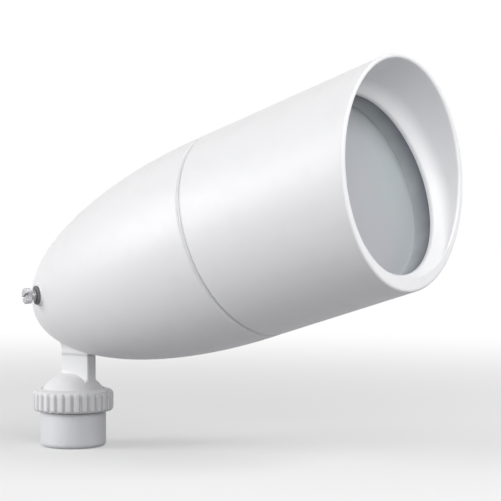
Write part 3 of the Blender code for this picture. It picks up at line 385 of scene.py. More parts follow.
def collar(rim, direction, body, end, reach_most, place):
    """(points, faces) of a closed collar between a body's surface and a free end.

    The rim's points p widen by n(1 - sin f) and stand n(1 - cos f) off the body, for f from 0 to a
    quarter turn and n the fillet's radius, which is as large as the collar's height there allows.
    """
    height = end - body(rim[:, 0], rim[:, 1])
    fillet = np.clip(0.8 * height, 0.3 * MM, reach_most)
    middle = rim.mean(axis=0)
    columns = []

    def column(points, heights):
        columns.append(np.column_stack([points, heights]))

    def on_body(points, lift):
        return body(points[:, 0], points[:, 1]) + lift

    column(np.broadcast_to(middle, rim.shape), np.full(len(rim), body(*middle) - SINK))
    wide = rim + direction * fillet[:, None]
    column(wide, on_body(wide, -SINK))
    for f in FILLET:
        foot = rim + direction * (fillet * (1 - math.sin(f)))[:, None]
        column(foot, on_body(foot, fillet * (1 - math.cos(f)) - SETTLE * math.cos(f)))
    foot_height = on_body(rim, fillet)
    for share in (0.1, 0.3, 0.5, 0.7, 0.9):
        column(rim, foot_height + share * (end - EASE - foot_height))
    for f in FILLET:
        column(rim - direction * EASE * (1 - math.cos(f)), np.full(len(rim), end - EASE + EASE * math.sin(f)))
    column(middle + (rim - middle) * 0.6, np.full(len(rim), end))
    column(np.broadcast_to(middle, rim.shape), np.full(len(rim), end))
    points = np.stack(columns, axis=1)
    faces = grid_faces(len(rim), len(columns), True, False)
    return placed(points.reshape(-1, 3), place), faces


def bar(rim, low, high, place):
    """(points, faces) of a straight closed bar with the rim as its section, used as a cutter."""
    middle = rim.mean(axis=0)
    ends = []
    for points, height in ((np.broadcast_to(middle, rim.shape), low), (rim, low), (rim, high),
                           (np.broadcast_to(middle, rim.shape), high)):
        ends.append(np.column_stack([points, np.full(len(rim), height)]))
    points = np.stack(ends, axis=1)
    return placed(points.reshape(-1, 3), place), grid_faces(len(rim), 4, True, False)


def circle(radius, centre, count=48):
    """Points of a circle in the local XY plane."""
    angle = (np.arange(count) + 0.5) / count * 2 * math.pi
    return np.array(centre) + radius * np.column_stack([np.cos(angle), np.sin(angle)])


def carved(name, first, joined=(), removed=()):
    """One closed piece: the first shape, with others joined on and others removed by Booleans."""
    piece = skin(name, [first])
    others = []
    for operation, shapes in (("UNION", joined), ("DIFFERENCE", removed)):
        for shape in shapes:
            other = skin(name + "_tool", [shape])
            change = piece.modifiers.new(operation, "BOOLEAN")
            change.operation = operation
            change.object = other
            others.append(other)
    bpy.context.view_layer.update()
    result = piece.evaluated_get(bpy.context.evaluated_depsgraph_get())
    mesh = bpy.data.meshes.new_from_object(result)
    piece.modifiers.clear()
    piece.data = mesh
    mesh.name = name
    for other in others:
        bpy.data.objects.remove(other)
    shade(piece)
    print(name + ":", len(mesh.polygons), "faces")
    return piece


# %% [markdown]
# ## The rear housing
# A shell in the form of half an ellipse turned about the optical axis, open at the seam. The arm's
# pad hangs below it, square to the ground and not to the axis, and a low boss on the right side, near
# the tip, carries the rear screw square to the shell. Each collar needs the height of the shell over
# any point of its own ground plan: that is a root of the ellipsoid's quadratic equation.

# %% Rear housing
HOUSING_LENGTH = 184.5 * MM
HOUSING_WALL = 3.2 * MM
STEM_OFFSET = 4.9 * MM
STEM_LENGTH = 24.6 * MM
STEM_WIDTH = 9.0 * MM
STEM_CORNER = 1.2 * MM
PAD_BOTTOM = 64.4 * MM
SLOT_HALF_LENGTH = 3.4 * MM
SLOT_HALF_WIDTH = 2.6 * MM
ARM_SCREW_SPREAD = 7.6 * MM
ARM_HOLE_RADIUS = 2.0 * MM
REAR_TURN = math.radians(-96.2)          # of the rear screw round the optical axis, from straight down
REAR_ALONG = math.radians(56.2)          # along the half ellipse, from the seam
BOSS_RADIUS = 7.6 * MM
BOSS_OUT = 0.5 * MM
BOSS_IN = -5.2 * MM
PAD_FILLET = 5.5 * MM
BOSS_FILLET = 0.4 * MM
SLOT_TOP = 84.0 * MM                     # heights above the ground where the cutters end
ARM_HOLE_TOP = 73.4 * MM
CUT_FROM = 60.0 * MM                     # and where they start, below the pad
TIP_WALL = 1.1 * HOUSING_WALL
REAR_HOLE_RADIUS = 2.5 * MM
LOCK_HOLE_RADIUS = 2.9 * MM
LOCK_POSITION = -11.0 * MM

ELLIPSE_TURN = np.linspace(0.0, math.pi / 2, 73)[1:]
BELOW = np.diag([1.0, -1.0, -1.0, 1.0])  # world axes turned half round X: +Z points down


def side_place(turn, along):
    """The frame of a point on the shell: +Z out along the normal, +X back along the meridian.

    In the half plane turned by the first angle, the point is (R cos u, -L sin u) and the normal is
    (L cos u, -R sin u), made one long.
    """
    radial = np.array([math.cos(turn), math.sin(turn), 0.0])
    ahead = np.array([0.0, 0.0, 1.0])
    normal = radial * HOUSING_LENGTH * math.cos(along) - ahead * SEAM_RADIUS * math.sin(along)
    normal /= np.linalg.norm(normal)
    across = np.array([-math.sin(turn), math.cos(turn), 0.0])
    local = np.eye(4)
    local[:3, 0] = np.cross(across, normal)
    local[:3, 1] = across
    local[:3, 2] = normal
    local[:3, 3] = radial * SEAM_RADIUS * math.cos(along) - ahead * HOUSING_LENGTH * math.sin(along)
    return OPTIC @ local


REAR_PLACE = side_place(REAR_TURN, REAR_ALONG)


def half_ellipse(radius, length):
    """Points of half an ellipse from the seam to the tip: (radius cos u, -length sin u)."""
    points = np.column_stack([radius * np.cos(ELLIPSE_TURN), -length * np.sin(ELLIPSE_TURN)])
    points[-1, 0] = 0.0
    return points


def underside(x, y):
    """Depth, along the ground-plan frame's +Z, of the shell's underside below a point."""
    ahead = x - SEAM_CENTRE[0]
    sine, cosine = FORWARD[2], FORWARD[0]
    a = cosine ** 2 / SEAM_RADIUS ** 2 + sine ** 2 / HOUSING_LENGTH ** 2
    b = 2 * ahead * sine * cosine * (1 / HOUSING_LENGTH ** 2 - 1 / SEAM_RADIUS ** 2)
    c = ((ahead * sine) ** 2 + y ** 2) / SEAM_RADIUS ** 2 + (ahead * cosine / HOUSING_LENGTH) ** 2 - 1
    height = SEAM_CENTRE[2] + (-b - np.sqrt(b ** 2 - 4 * a * c)) / (2 * a)
    return -height


def beside(x, y):
    """Height of the shell over a point (x, y) of the rear screw's frame.

    With every coordinate along the optical frame's axes divided by the ellipsoid's reach there, the
    shell is a ball of radius 1, and the height h is the larger root of |base + h * normal|^2 = 1.
    """
    reaches = np.array([SEAM_RADIUS, SEAM_RADIUS, HOUSING_LENGTH])
    local = np.linalg.inv(OPTIC) @ REAR_PLACE
    base = (np.stack([x, y, 0 * x], axis=-1) @ local[:3, :3].T + local[:3, 3]) / reaches
    normal = local[:3, 2] / reaches
    a = normal @ normal
    b = base @ normal
    c = (base ** 2).sum(axis=-1) - 1
    return (-b + np.sqrt(b ** 2 - a * c)) / a


def screw_holes(radius, low, high, place):
    """The two bars that cut holes for the arm's screws."""
    return [bar(circle(radius, (STEM_OFFSET + side * ARM_SCREW_SPREAD, 0.0)), low, high, place)
            for side in (-1, 1)]


housing_outside = half_ellipse(SEAM_RADIUS, HOUSING_LENGTH)
housing_inside = half_ellipse(SEAM_RADIUS - HOUSING_WALL, HOUSING_LENGTH - TIP_WALL)
housing_edge = outline([housing_outside[0], (SEAM_RADIUS, -GROOVE_BEHIND),
                        (SEAM_RADIUS - SEAM_DEPTH, GROOVE_FLANK - GROOVE_BEHIND),
                        (SEAM_RADIUS - SEAM_DEPTH, 0.0), (SEAM_RADIUS - HOUSING_WALL, 0.0),
                        housing_inside[0]],
                       [0.0, 0.5 * MM, 0.5 * MM, 0.15 * MM, 0.5 * MM, 0.0], closed=False)
shell_profile = np.concatenate([housing_outside[:0:-1], housing_edge, housing_inside[1:]])
pad_rim, pad_way = obround(STEM_LENGTH / 2, STEM_WIDTH / 2, STEM_CORNER, (STEM_OFFSET, 0.0))
boss_rim = circle(BOSS_RADIUS, (0.0, 0.0), 96)
slot_rim, _ = obround(SLOT_HALF_LENGTH, SLOT_HALF_WIDTH, SLOT_HALF_WIDTH, (STEM_OFFSET, 0.0), 64)
LOCK_PLACE = OPTIC @ np.array([[0, 0, 1, 0], [0, 1, 0, 0], [-1, 0, 0, LOCK_POSITION], [0, 0, 0, 1.0]])

housing = carved(
    "housing_shell",
    round_axis(shell_profile, OPTIC, 192, closed=False),
    joined=[
        collar(pad_rim, pad_way, underside, -PAD_BOTTOM, PAD_FILLET, BELOW),
        collar(boss_rim, boss_rim / BOSS_RADIUS, beside, BOSS_OUT, BOSS_FILLET, REAR_PLACE),
        bar(circle(BOSS_RADIUS, (0.0, 0.0)), BOSS_IN, -MM, REAR_PLACE),
    ],
    removed=[
        bar(slot_rim, -SLOT_TOP, -PAD_BOTTOM + MM, BELOW),
        *screw_holes(ARM_HOLE_RADIUS, -ARM_HOLE_TOP, -CUT_FROM, BELOW),
        bar(circle(REAR_HOLE_RADIUS, (0.0, 0.0)), BOSS_IN - MM, BOSS_OUT + MM, REAR_PLACE),
        bar(circle(LOCK_HOLE_RADIUS, (0.0, 0.0)), SEAM_RADIUS - 2 * HOUSING_WALL, SEAM_RADIUS + 2 * MM,
            LOCK_PLACE),
    ],
)
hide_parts("rear_housing")
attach(housing, "head")

# %% [markdown]
# ## The swivel arm
# A domed cap with a flat-sided stem. The cap is a thin ball section that slides between the hub's
# crown and the ring nut, and the stem holds the housing up. The stem's collar ends on the ball, whose
# height above a point is the ball's centre plus sqrt(radius^2 - x^2 - y^2). Its fillet is generous
# behind and at the sides, and small in front, where it has to clear the nut when the lamp tilts down.

# %% Swivel arm
CAP_RADIUS = 25.4 * MM
CAP_BORE_RADIUS = 22.9 * MM
CAP_RIM_ANGLE = math.radians(69.5)
STEM_TOP = 63.0 * MM
SCREW_HEAD_CLEARANCE = 3.1 * MM
SCREW_HEAD_TOP = 52.1 * MM
STEM_CUT_FROM = 40.0 * MM                # heights inside the cap where the cutters start
HEAD_CUT_FROM = 36.0 * MM
INSET = 0.08 * MM                        # of the gasket, on every side


def ball_arc(radius, start, end, count):
    """Points (radius sin a, centre height + radius cos a) of a ball's section."""
    angle = np.linspace(start, end, count)
    return np.column_stack([radius * np.sin(angle), SWIVEL_HEIGHT + radius * np.cos(angle)])


def dome(x, y):
    """Height of the cap's outside above a point."""
    return SWIVEL_HEIGHT + np.sqrt(CAP_RADIUS ** 2 - x ** 2 - y ** 2)


cap_outside = ball_arc(CAP_RADIUS, 0.0, CAP_RIM_ANGLE, 40)
rim_height = cap_outside[-1, 1]
bore_rim_angle = math.acos((rim_height - SWIVEL_HEIGHT) / CAP_BORE_RADIUS)
cap_inside = ball_arc(CAP_BORE_RADIUS, bore_rim_angle, 0.0, 40)
stem_fillet = np.where(pad_way[:, 0] < 0, 3.0 * MM, 0.45 * MM + 2.1 * MM * np.abs(pad_way[:, 1]) ** 16)
arm = carved(
    "arm_casting",
    round_axis(np.concatenate([cap_outside, cap_inside]), UPRIGHT, 144, closed=False),
    joined=[collar(pad_rim, pad_way, dome, STEM_TOP, stem_fillet, UPRIGHT)],
    removed=[
        bar(slot_rim, STEM_CUT_FROM, STEM_TOP + MM, UPRIGHT),
        *screw_holes(ARM_HOLE_RADIUS, STEM_CUT_FROM, STEM_TOP + MM, UPRIGHT),
        *screw_holes(SCREW_HEAD_CLEARANCE, HEAD_CUT_FROM, SCREW_HEAD_TOP, UPRIGHT),
    ],
)
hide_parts("swivel_arm")
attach(arm, "head")

gasket = carved(
    "arm_gasket_pad",
    bar(obround(STEM_LENGTH / 2 - INSET, STEM_WIDTH / 2 - INSET, STEM_CORNER, (STEM_OFFSET, 0.0))[0],
        STEM_TOP + INSET, PAD_BOTTOM - INSET, UPRIGHT),
    removed=[
        bar(slot_rim, STEM_TOP - MM, PAD_BOTTOM + MM, UPRIGHT),
        *screw_holes(ARM_HOLE_RADIUS, STEM_TOP - MM, PAD_BOTTOM + MM, UPRIGHT),
    ],
)
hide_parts("arm_gasket")
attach(gasket, "head")

# %% [markdown]
# ## The ring nut
# Thirty shallow grooves run up the nut's grip and fade out below its bevel. The nut is a turned shape
# whose radius also depends on the direction: from the plain radius, take the depth of a round-bottomed
# groove, faded by how far the height is inside the grip.

# %% Ring nut
NUT_RIBS = 30
NUT_TURN = math.radians(-2.7)            # how far the nut is screwed on, from the photograph
NUT_RADIUS = 27.9 * MM
NUT_BOTTOM = 24.9 * MM
NUT_RIB_LOW = 26.5 * MM
NUT_RIB_HIGH = 37.4 * MM
NUT_BEVEL_RADIUS = 26.8 * MM
NUT_BEVEL_HEIGHT = 38.7 * MM
NUT_TOP = 40.3 * MM
NUT_SEAT_RADIUS = 25.7 * MM
NUT_MOUTH_ANGLE = math.radians(56.5)
NUT_BORE_RADIUS = 25.45 * MM
GROOVE_RADIUS = 1.45 * MM
GROOVE_DEPTH = 1.2 * MM
NUT_FOOT_BEVEL = 1.4 * MM
NUT_LIP = 0.9 * MM                       # width of the flat round the mouth
NUT_STEPS = NUT_RIBS * 20
FADE = 1.6 * MM


def smooth_step(value):
    """0 below 0, 1 above 1, and 3v^2 - 2v^3 between."""
    value = np.clip(value, 0.0, 1.0)
    return value * value * (3 - 2 * value)


seat = ball_arc(NUT_SEAT_RADIUS, math.asin(NUT_BORE_RADIUS / NUT_SEAT_RADIUS), NUT_MOUTH_ANGLE, 14)
nut_corners = [(NUT_BORE_RADIUS, NUT_BOTTOM), (NUT_RADIUS - NUT_FOOT_BEVEL, NUT_BOTTOM),
               (NUT_RADIUS, NUT_RIB_LOW), (NUT_RADIUS, NUT_RIB_HIGH), (NUT_BEVEL_RADIUS, NUT_BEVEL_HEIGHT),
               (seat[-1, 0] + NUT_LIP, NUT_TOP), tuple(seat[-1])]
nut_outside = outline(nut_corners, [0.0, 0.5 * MM, 0.5 * MM, 0.8 * MM, 0.7 * MM, 0.4 * MM, 0.0], closed=False)
nut_profile = np.concatenate([nut_outside, seat[-2:0:-1]])
nut_angle = np.linspace(0.0, 2 * math.pi, NUT_STEPS, endpoint=False)
from_groove = (nut_angle - NUT_TURN) * NUT_RIBS / (2 * math.pi)
from_groove = (from_groove - np.round(from_groove)) * 2 * math.pi / NUT_RIBS * NUT_RADIUS
groove = np.sqrt(np.maximum(GROOVE_RADIUS ** 2 - from_groove ** 2, 0.0)) - (GROOVE_RADIUS - GROOVE_DEPTH)
groove = np.maximum(groove, 0.0)
nut_height = nut_profile[:, 1]
faded = smooth_step((nut_height - NUT_BOTTOM) / FADE) * smooth_step((NUT_BEVEL_HEIGHT - nut_height) / FADE)
outward = nut_profile[:, 0] > NUT_BEVEL_RADIUS - 0.5 * MM
nut_radius = nut_profile[None, :, 0] - groove[:, None] * (faded * outward)[None, :]
nut_grid = np.stack([nut_radius, np.broadcast_to(nut_height, nut_radius.shape)], axis=-1)
nut = skin("ring_nut", [round_axis(nut_grid, UPRIGHT, NUT_STEPS)])
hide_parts("swivel_nut")
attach(nut, "nut")
print("nut:", len(nut.data.polygons), "faces")

# %% [markdown]
# ## The hub
# Plain outside, with a generous round at its foot. Its bore has the thread that a conduit nipple
# screws into. A thread is a turned shape whose radius is a wave in height that has shifted by one
# pitch after each turn, so it closes on itself.

# %% Hub
HUB_RADIUS = 22.75 * MM
HUB_SHOULDER = 24.4 * MM
HUB_EDGE = 3.2 * MM
HUB_NECK_RADIUS = 21.55 * MM
HUB_THREAD_RADIUS = 25.15 * MM
HUB_THREAD_BOTTOM = 25.9 * MM
HUB_THREAD_TOP = 28.8 * MM
CONDUIT_RADIUS = 9.8 * MM
CONDUIT_DEPTH = 18.0 * MM
THREAD_PITCH = 1.81 * MM
THREAD_DEPTH = 0.7 * MM
WIRE_WAY_RADIUS = 7.0 * MM
WIRE_MOUTH_RADIUS = 8.5 * MM
CROWN_RADIUS = 21.0 * MM

crown = ball_arc(CROWN_RADIUS, math.asin(WIRE_MOUTH_RADIUS / CROWN_RADIUS),
                 math.acos((HUB_THREAD_TOP - SWIVEL_HEIGHT) / CROWN_RADIUS), 24)
foot_turn = np.linspace(0.0, math.pi / 2, 12)
foot = np.column_stack([HUB_RADIUS - HUB_EDGE * (1 - np.cos(foot_turn)), HUB_EDGE * (1 - np.sin(foot_turn))])
hub_side = outline([tuple(crown[-1]), (HUB_THREAD_RADIUS, HUB_THREAD_TOP),
                    (HUB_THREAD_RADIUS, HUB_THREAD_BOTTOM), (HUB_NECK_RADIUS, HUB_THREAD_BOTTOM),
                    (HUB_NECK_RADIUS, HUB_SHOULDER),
                    (HUB_RADIUS, HUB_SHOULDER), tuple(foot[0])],
                   [0.0, 0.4 * MM, 0.4 * MM, 0.2 * MM, 0.2 * MM, 0.5 * MM, 0.0], closed=False)
bore_height = np.linspace(0.0, CONDUIT_DEPTH, 109)
bore = np.column_stack([np.full(len(bore_height), CONDUIT_RADIUS), bore_height])
way = outline([(CONDUIT_RADIUS, CONDUIT_DEPTH), (WIRE_WAY_RADIUS, CONDUIT_DEPTH),
               (WIRE_WAY_RADIUS, SWIVEL_HEIGHT + CROWN_RADIUS / 2), tuple(crown[0])],
              [0.0, 0.6 * MM, 0.8 * MM, 0.0], closed=False)
hub_profile = np.concatenate([crown, hub_side[1:], foot[1:], bore, way[1:-1]])
hub_angle = np.linspace(0.0, 2 * math.pi, 144, endpoint=False)
hub_height = hub_profile[:, 1]
in_bore = np.zeros(len(hub_profile))
bore_start = len(crown) + len(hub_side) - 1 + len(foot) - 1
in_bore[bore_start:bore_start + len(bore)] = 1.0
pitches = hub_height / THREAD_PITCH
thread_fade = smooth_step(pitches) * smooth_step((CONDUIT_DEPTH - hub_height) / THREAD_PITCH)
wave = 0.5 + 0.5 * np.cos(2 * math.pi * (pitches[None, :] - hub_angle[:, None] / (2 * math.pi)))
hub_radius = hub_profile[None, :, 0] + THREAD_DEPTH * wave * (in_bore * thread_fade)[None, :]
hub_grid = np.stack([hub_radius, np.broadcast_to(hub_height, hub_radius.shape)], axis=-1)
hub = skin("hub_casting", [round_axis(hub_grid, UPRIGHT, len(hub_angle))])
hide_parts("hub_base")
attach(hub, "base")
print("hub:", len(hub.data.polygons), "faces")

# %% [markdown]
# ## Lens, gaskets and rings
# The lens is a disc of frosted tempered glass with a slightly crowned front and ground edges, held
# against a silicone gasket by a spring ring. Rubber pieces get soft edges, pressed steel nearly sharp
# ones.

# %% Lens and what holds it
_, GASKET_FRONT, _ = reach("lens_gasket")
GASKET_BORE_RADIUS = 59.7 * MM
SNAP_BORE_RADIUS = 60.4 * MM
SNAP_MOUTH = (6.0 * MM, 4.5 * MM, 2.0 * MM)    # half sizes and corner of the gap between its ends
crown_share = np.linspace(0.0, 1.0, 24)
lens_front = np.column_stack([crown_share * (GASKET_BORE_RADIUS - MM),
                              LENS_FRONT + LENS_CROWN * (1 - crown_share ** 2)])
lens_side = outline([tuple(lens_front[-1]), (LENS_RADIUS, LENS_FRONT), (LENS_RADIUS, LENS_BACK),
                     (0.0, LENS_BACK)], [0.0, 0.6 * MM, 0.6 * MM, 0.0], closed=False)
lens = skin("lens_glass", [round_axis(np.concatenate([lens_front, lens_side[1:]]), OPTIC, 192, closed=False)])
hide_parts("lens")
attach(lens, "hood")


def ring(name, node, bore, bend, body, low=None):
    """A plain turned ring in the place of a node, with rounded edges."""
    node_low, high, radius = reach(node)
    low = node_low if low is None else low
    piece = turned(name, [(radius, high), (radius, low), (bore, low), (bore, high)], bend)
    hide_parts(node)
    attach(piece, body)
    return piece


lens_seal = ring("lens_seal", "lens_gasket", GASKET_BORE_RADIUS, 0.06 * MM, "hood",
                 LENS_FRONT + 0.02 * MM)
lens_pad = ring("lens_pad", "lens_cushion", GASKET_BORE_RADIUS, 0.3 * MM, "hood")
seam_seal = ring("seam_seal", "seam_gasket", SEAL_RADIUS - (SEAL_FRONT - SEAL_BACK), 0.8 * MM,
                 "hood")
snap_ring = carved(
    "snap_ring",
    round_axis(outline([(SNAP_RADIUS, SNAP_FRONT), (SNAP_RADIUS, SNAP_BACK), (SNAP_BORE_RADIUS, SNAP_BACK),
                        (SNAP_BORE_RADIUS, SNAP_FRONT)], 0.25 * MM), OPTIC, 192),
    removed=[bar(obround(*SNAP_MOUTH, (-LENS_RADIUS, 0.0))[0], SNAP_BACK - MM, SNAP_FRONT + MM, OPTIC)],
)
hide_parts("lens_retaining_ring")
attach(snap_ring, "hood")
print("lens:", len(lens.data.polygons), "faces")

# %% [markdown]
# ## The rear screw and its washer
# The only fastener that shows. It is turned from a bar: a flange that presses on a black rubber
# washer, a neck, and a knurled head with a screwdriver slot. The knurls are a wave round the head:
# radius minus depth * (1 - cos(count * angle)) / 2. The washer bulges a little where it is squeezed.

# %% Rear screw
screw_low, screw_high, screw_radius = reach("rear_screw", REAR_PLACE)
washer_low, washer_high, washer_radius = reach("rear_washer", REAR_PLACE)
SHANK_RADIUS = 2.2 * MM
FLANGE_RADIUS = 4.0 * MM
NECK_RADIUS = 2.9 * MM
SLOT_WIDTH = 1.6 * MM
SLOT_DEPTH = 1.9 * MM
SLOT_REACH = 8.0 * MM                    # half the slot cutter's length
FLANGE_THICKNESS = 0.8 * MM
NECK_LENGTH = 2.3 * MM
WASHER_BORE_RADIUS = 2.5 * MM
WASHER_BULGE = 0.3 * MM
KNURLS = 32
KNURL_DEPTH = 0.35 * MM
flange_low = washer_high + GAP
flange_high = flange_low + FLANGE_THICKNESS
head_low = flange_high + NECK_LENGTH
screw_profile = outline(
    [(0.0, screw_low), (SHANK_RADIUS, screw_low), (SHANK_RADIUS, flange_low), (FLANGE_RADIUS, flange_low),
     (FLANGE_RADIUS, flange_high), (NECK_RADIUS, flange_high), (NECK_RADIUS, head_low),
     (screw_radius, head_low), (screw_radius, screw_high), (0.0, screw_high)],
    [0.0, 0.5 * MM, 0.1 * MM, 0.15 * MM, 0.25 * MM, 0.4 * MM, 0.4 * MM, 0.5 * MM, 0.7 * MM, 0.0],
    closed=False)
screw_angle = np.linspace(0.0, 2 * math.pi, KNURLS * 8, endpoint=False)
knurl = KNURL_DEPTH * (1 - np.cos(KNURLS * screw_angle)) / 2
on_head = (screw_profile[:, 1] > head_low) & (screw_profile[:, 0] > screw_radius - 0.4 * MM)
screw_grid = np.stack([screw_profile[None, :, 0] - knurl[:, None] * on_head[None, :],
                       np.broadcast_to(screw_profile[:, 1], (len(screw_angle), len(screw_profile)))], axis=-1)
rear_screw = carved(
    "rear_screw_turned",
    round_axis(screw_grid, REAR_PLACE, len(screw_angle), closed=False),
    removed=[bar(obround(SLOT_REACH, SLOT_WIDTH / 2, 0.1 * MM, (0.0, 0.0))[0], screw_high - SLOT_DEPTH,
                 screw_high + MM, REAR_PLACE)],
)
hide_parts("rear_screw")
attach(rear_screw, "head")
rear_washer = turned(
    "rear_washer_rubber",
    [(WASHER_BORE_RADIUS, washer_low), (washer_radius - WASHER_BULGE, washer_low),
     (washer_radius, (washer_low + washer_high) / 2),
     (washer_radius - WASHER_BULGE, washer_high), (WASHER_BORE_RADIUS, washer_high)],
    [0.1 * MM, 0.3 * MM, 0.6 * MM, 0.3 * MM, 0.1 * MM], REAR_PLACE, 96)
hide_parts("rear_washer")
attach(rear_washer, "head")

# %% [markdown]
# ## The lamp behind the lens
# A PAR38 lamp: a pressed glass bowl silvered inside, closed by a face with a pebbled inner surface,
# on a brass screw base. It shows when the hood is pulled off, so its bowl is a smooth curve here:
# radius grows with the square root of the height, which is a paraboloid.

# %% Lamp
LAMP_NECK_BACK, LAMP_FACE, LAMP_RADIUS = reach("lamp_reflector")
LAMP_NECK_RADIUS = 15.5 * MM
LAMP_GLASS = 2.2 * MM
along = np.linspace(0.0, 1.0, 40)
bowl_radius = LAMP_NECK_RADIUS + (LAMP_RADIUS - LAMP_NECK_RADIUS) * np.sqrt(along)
bowl_height = LAMP_NECK_BACK + (LAMP_FACE - LAMP_NECK_BACK) * along
bowl = np.column_stack([bowl_radius, bowl_height])
bowl_inside = bowl + np.column_stack([np.full(len(along), -LAMP_GLASS), LAMP_GLASS * (1 - along)])
bowl_lip = outline([tuple(bowl[-1]), tuple(bowl_inside[-1])], 0.0, closed=False)
bowl_profile = np.concatenate([bowl[:-1], bowl_lip, bowl_inside[-2::-1]])
reflector = skin("lamp_bowl", [round_axis(bowl_profile, OPTIC, 128)])
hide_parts("lamp_reflector")
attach(reflector, "lamp")

face_low, face_high, face_radius = reach("lamp_face")
face_turn = np.linspace(0.0, math.pi / 2, 32)
face_edge = face_low + LAMP_GLASS
face_front = np.column_stack([face_radius * np.sin(face_turn),
                              face_edge + (face_high - face_low - LAMP_GLASS) * np.cos(face_turn)])
face_back = outline([tuple(face_front[-1]), (face_radius, face_low), (0.0, face_low)],
                    [0.0, 0.5 * MM, 0.0], closed=False)
face_profile = np.concatenate([face_front, face_back[1:]])
lamp_face = skin("lamp_front", [round_axis(face_profile, OPTIC, 128, closed=False)])
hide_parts("lamp_face")
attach(lamp_face, "lamp")
print("lamp:", len(reflector.data.polygons), "and", len(lamp_face.data.polygons), "faces")

# %% [markdown]
# ## Finishes from a few nodes
# Every finish below is a Principled shader, and one or more of its colour, roughness and bump follow a
# pattern. A few helpers make them: one adds a node to a tree and links it, and the others are the
# patterns and the places that they go to. Patterns are in Object coordinates, so they stay on the piece
# in every pose.

# %% Materials: the helpers


def add_node(tree, kind, inputs=(), **settings):
    """A new shader node: settings by name, then (socket, number or output to link) for its inputs."""
    made = tree.nodes.new("ShaderNode" + kind)
    for setting, value in settings.items():
        setattr(made, setting, value)
    for socket, value in inputs:
        if isinstance(value, bpy.types.NodeSocket):
            tree.links.new(value, made.inputs[socket])
        else:
            made.inputs[socket].default_value = value
    return made


def material(name, color, roughness, metallic=0.0, **sockets):
    """A node material with its Principled shader; other sockets are set by name."""
    finish = bpy.data.materials.new(name)
    finish.use_nodes = True
    shader = finish.node_tree.nodes["Principled BSDF"]
    shader.inputs["Base Color"].default_value = (*color, 1.0)
    shader.inputs["Roughness"].default_value = roughness
    shader.inputs["Metallic"].default_value = metallic
    for socket, value in sockets.items():
        shader.inputs[socket.replace("_", " ")].default_value = value
    finish.diffuse_color = (*color, 1.0)
    return finish


def at_point(tree):
    """Object coordinates of the point being shaded."""
    return add_node(tree, "TexCoord").outputs["Object"]


def noise(finish, scale, detail=2.0, stretch=(1.0, 1.0, 1.0)):
    """A noise in Object coordinates; scale counts lumps per metre."""
    tree = finish.node_tree
    mapping = add_node(tree, "Mapping", [("Scale", stretch), ("Vector", at_point(tree))])
    return add_node(tree, "TexNoise", [("Scale", scale), ("Detail", detail),
                                       ("Vector", mapping.outputs["Vector"])]).outputs["Fac"]


def spread(finish, source, low, high, start=0.3, stop=0.7):
    """Map a pattern to the range from low to high."""
    return add_node(finish.node_tree, "MapRange", [("From Min", start), ("From Max", stop), ("To Min", low),
                                                   ("To Max", high), ("Value", source)]).outputs["Result"]


def depth_along(finish, direction):
    """Distance of a point in front of the seam's middle, along a direction, in metres."""
    tree = finish.node_tree
    shift = add_node(tree, "VectorMath", [(0, at_point(tree)), (1, tuple(SEAM_CENTRE))], operation="SUBTRACT")
    return add_node(tree, "VectorMath", [(0, shift.outputs["Vector"]), (1, tuple(direction))],
                operation="DOT_PRODUCT").outputs["Value"]


def from_upright_axis(finish):
    """Distance of a point from the vertical axis, in metres."""
    tree = finish.node_tree
    flat = add_node(tree, "VectorMath", [(0, at_point(tree)), (1, (1.0, 1.0, 0.0))], operation="MULTIPLY")
    return add_node(tree, "VectorMath", [(0, flat.outputs["Vector"])], operation="LENGTH").outputs["Value"]


def added(finish, first, second):
    """The sum of two patterns."""
    return add_node(finish.node_tree, "Math", [(0, first), (1, second)], operation="ADD").outputs["Value"]


def blend_colors(finish, source, first, second):
    """A colour between two, by a pattern; it goes to the shader's base colour."""
    tree = finish.node_tree
    blend = add_node(tree, "Mix", [("A", (*first, 1.0)), ("B", (*second, 1.0)), ("Factor", source)],
                 data_type="RGBA")
    tree.links.new(blend.outputs["Result"], tree.nodes["Principled BSDF"].inputs["Base Color"])


def roughen(finish, source):
    """Drive the roughness by a pattern."""
    shader = finish.node_tree.nodes["Principled BSDF"]
    finish.node_tree.links.new(source, shader.inputs["Roughness"])


def uneven_gloss(finish, low, high, scale, detail=2.0):
    """Roughness between two values, by a noise."""
    roughen(finish, spread(finish, noise(finish, scale, detail), low, high))


def emboss(finish, source, depth, strength=1.0):
    """Bump the surface by a pattern of a real depth in metres; a second call bumps on top."""
    tree = finish.node_tree
    bump = add_node(tree, "Bump", [("Strength", strength), ("Distance", depth), ("Height", source)])
    normal = tree.nodes["Principled BSDF"].inputs["Normal"]
    if normal.is_linked:
        tree.links.new(normal.links[0].from_socket, bump.inputs["Normal"])
    tree.links.new(bump.outputs["Normal"], normal)


def dress(pieces, finish):
    """Give the pieces one material."""
    for piece in pieces:
        piece.data.materials.clear()
        piece.data.materials.append(finish)
    print(finish.name + ":", len(pieces), "pieces")


# %% [markdown]
# ## Powder coat
# Powder coat melts and flows before it sets, which leaves a soft skin like an orange's, with dimples
# of about half a millimetre, and a gloss that varies a little. The colour is nearly even, but a painted
# shade greys it in the groove at the seam. The nut's coat is a little greyer than the rest, a painted
# shade for the housing's shadow, and a darker painted shade lies in its grooves: there the colour goes by
# the distance from the axis, and by the height, because the bevel above them has no such shade.

# %% Materials: the coats
# Painted shade in the groove at the seam: the colour that the white coat greys to there.
SEAM_SHADE = (0.74, 0.74, 0.755)
SEAM_SHADE_FULL = 0.5 * MM                # the painted shade is full this near to the seam's middle
SEAM_SHADE_END = 2.2 * MM                 # and gone this far from it


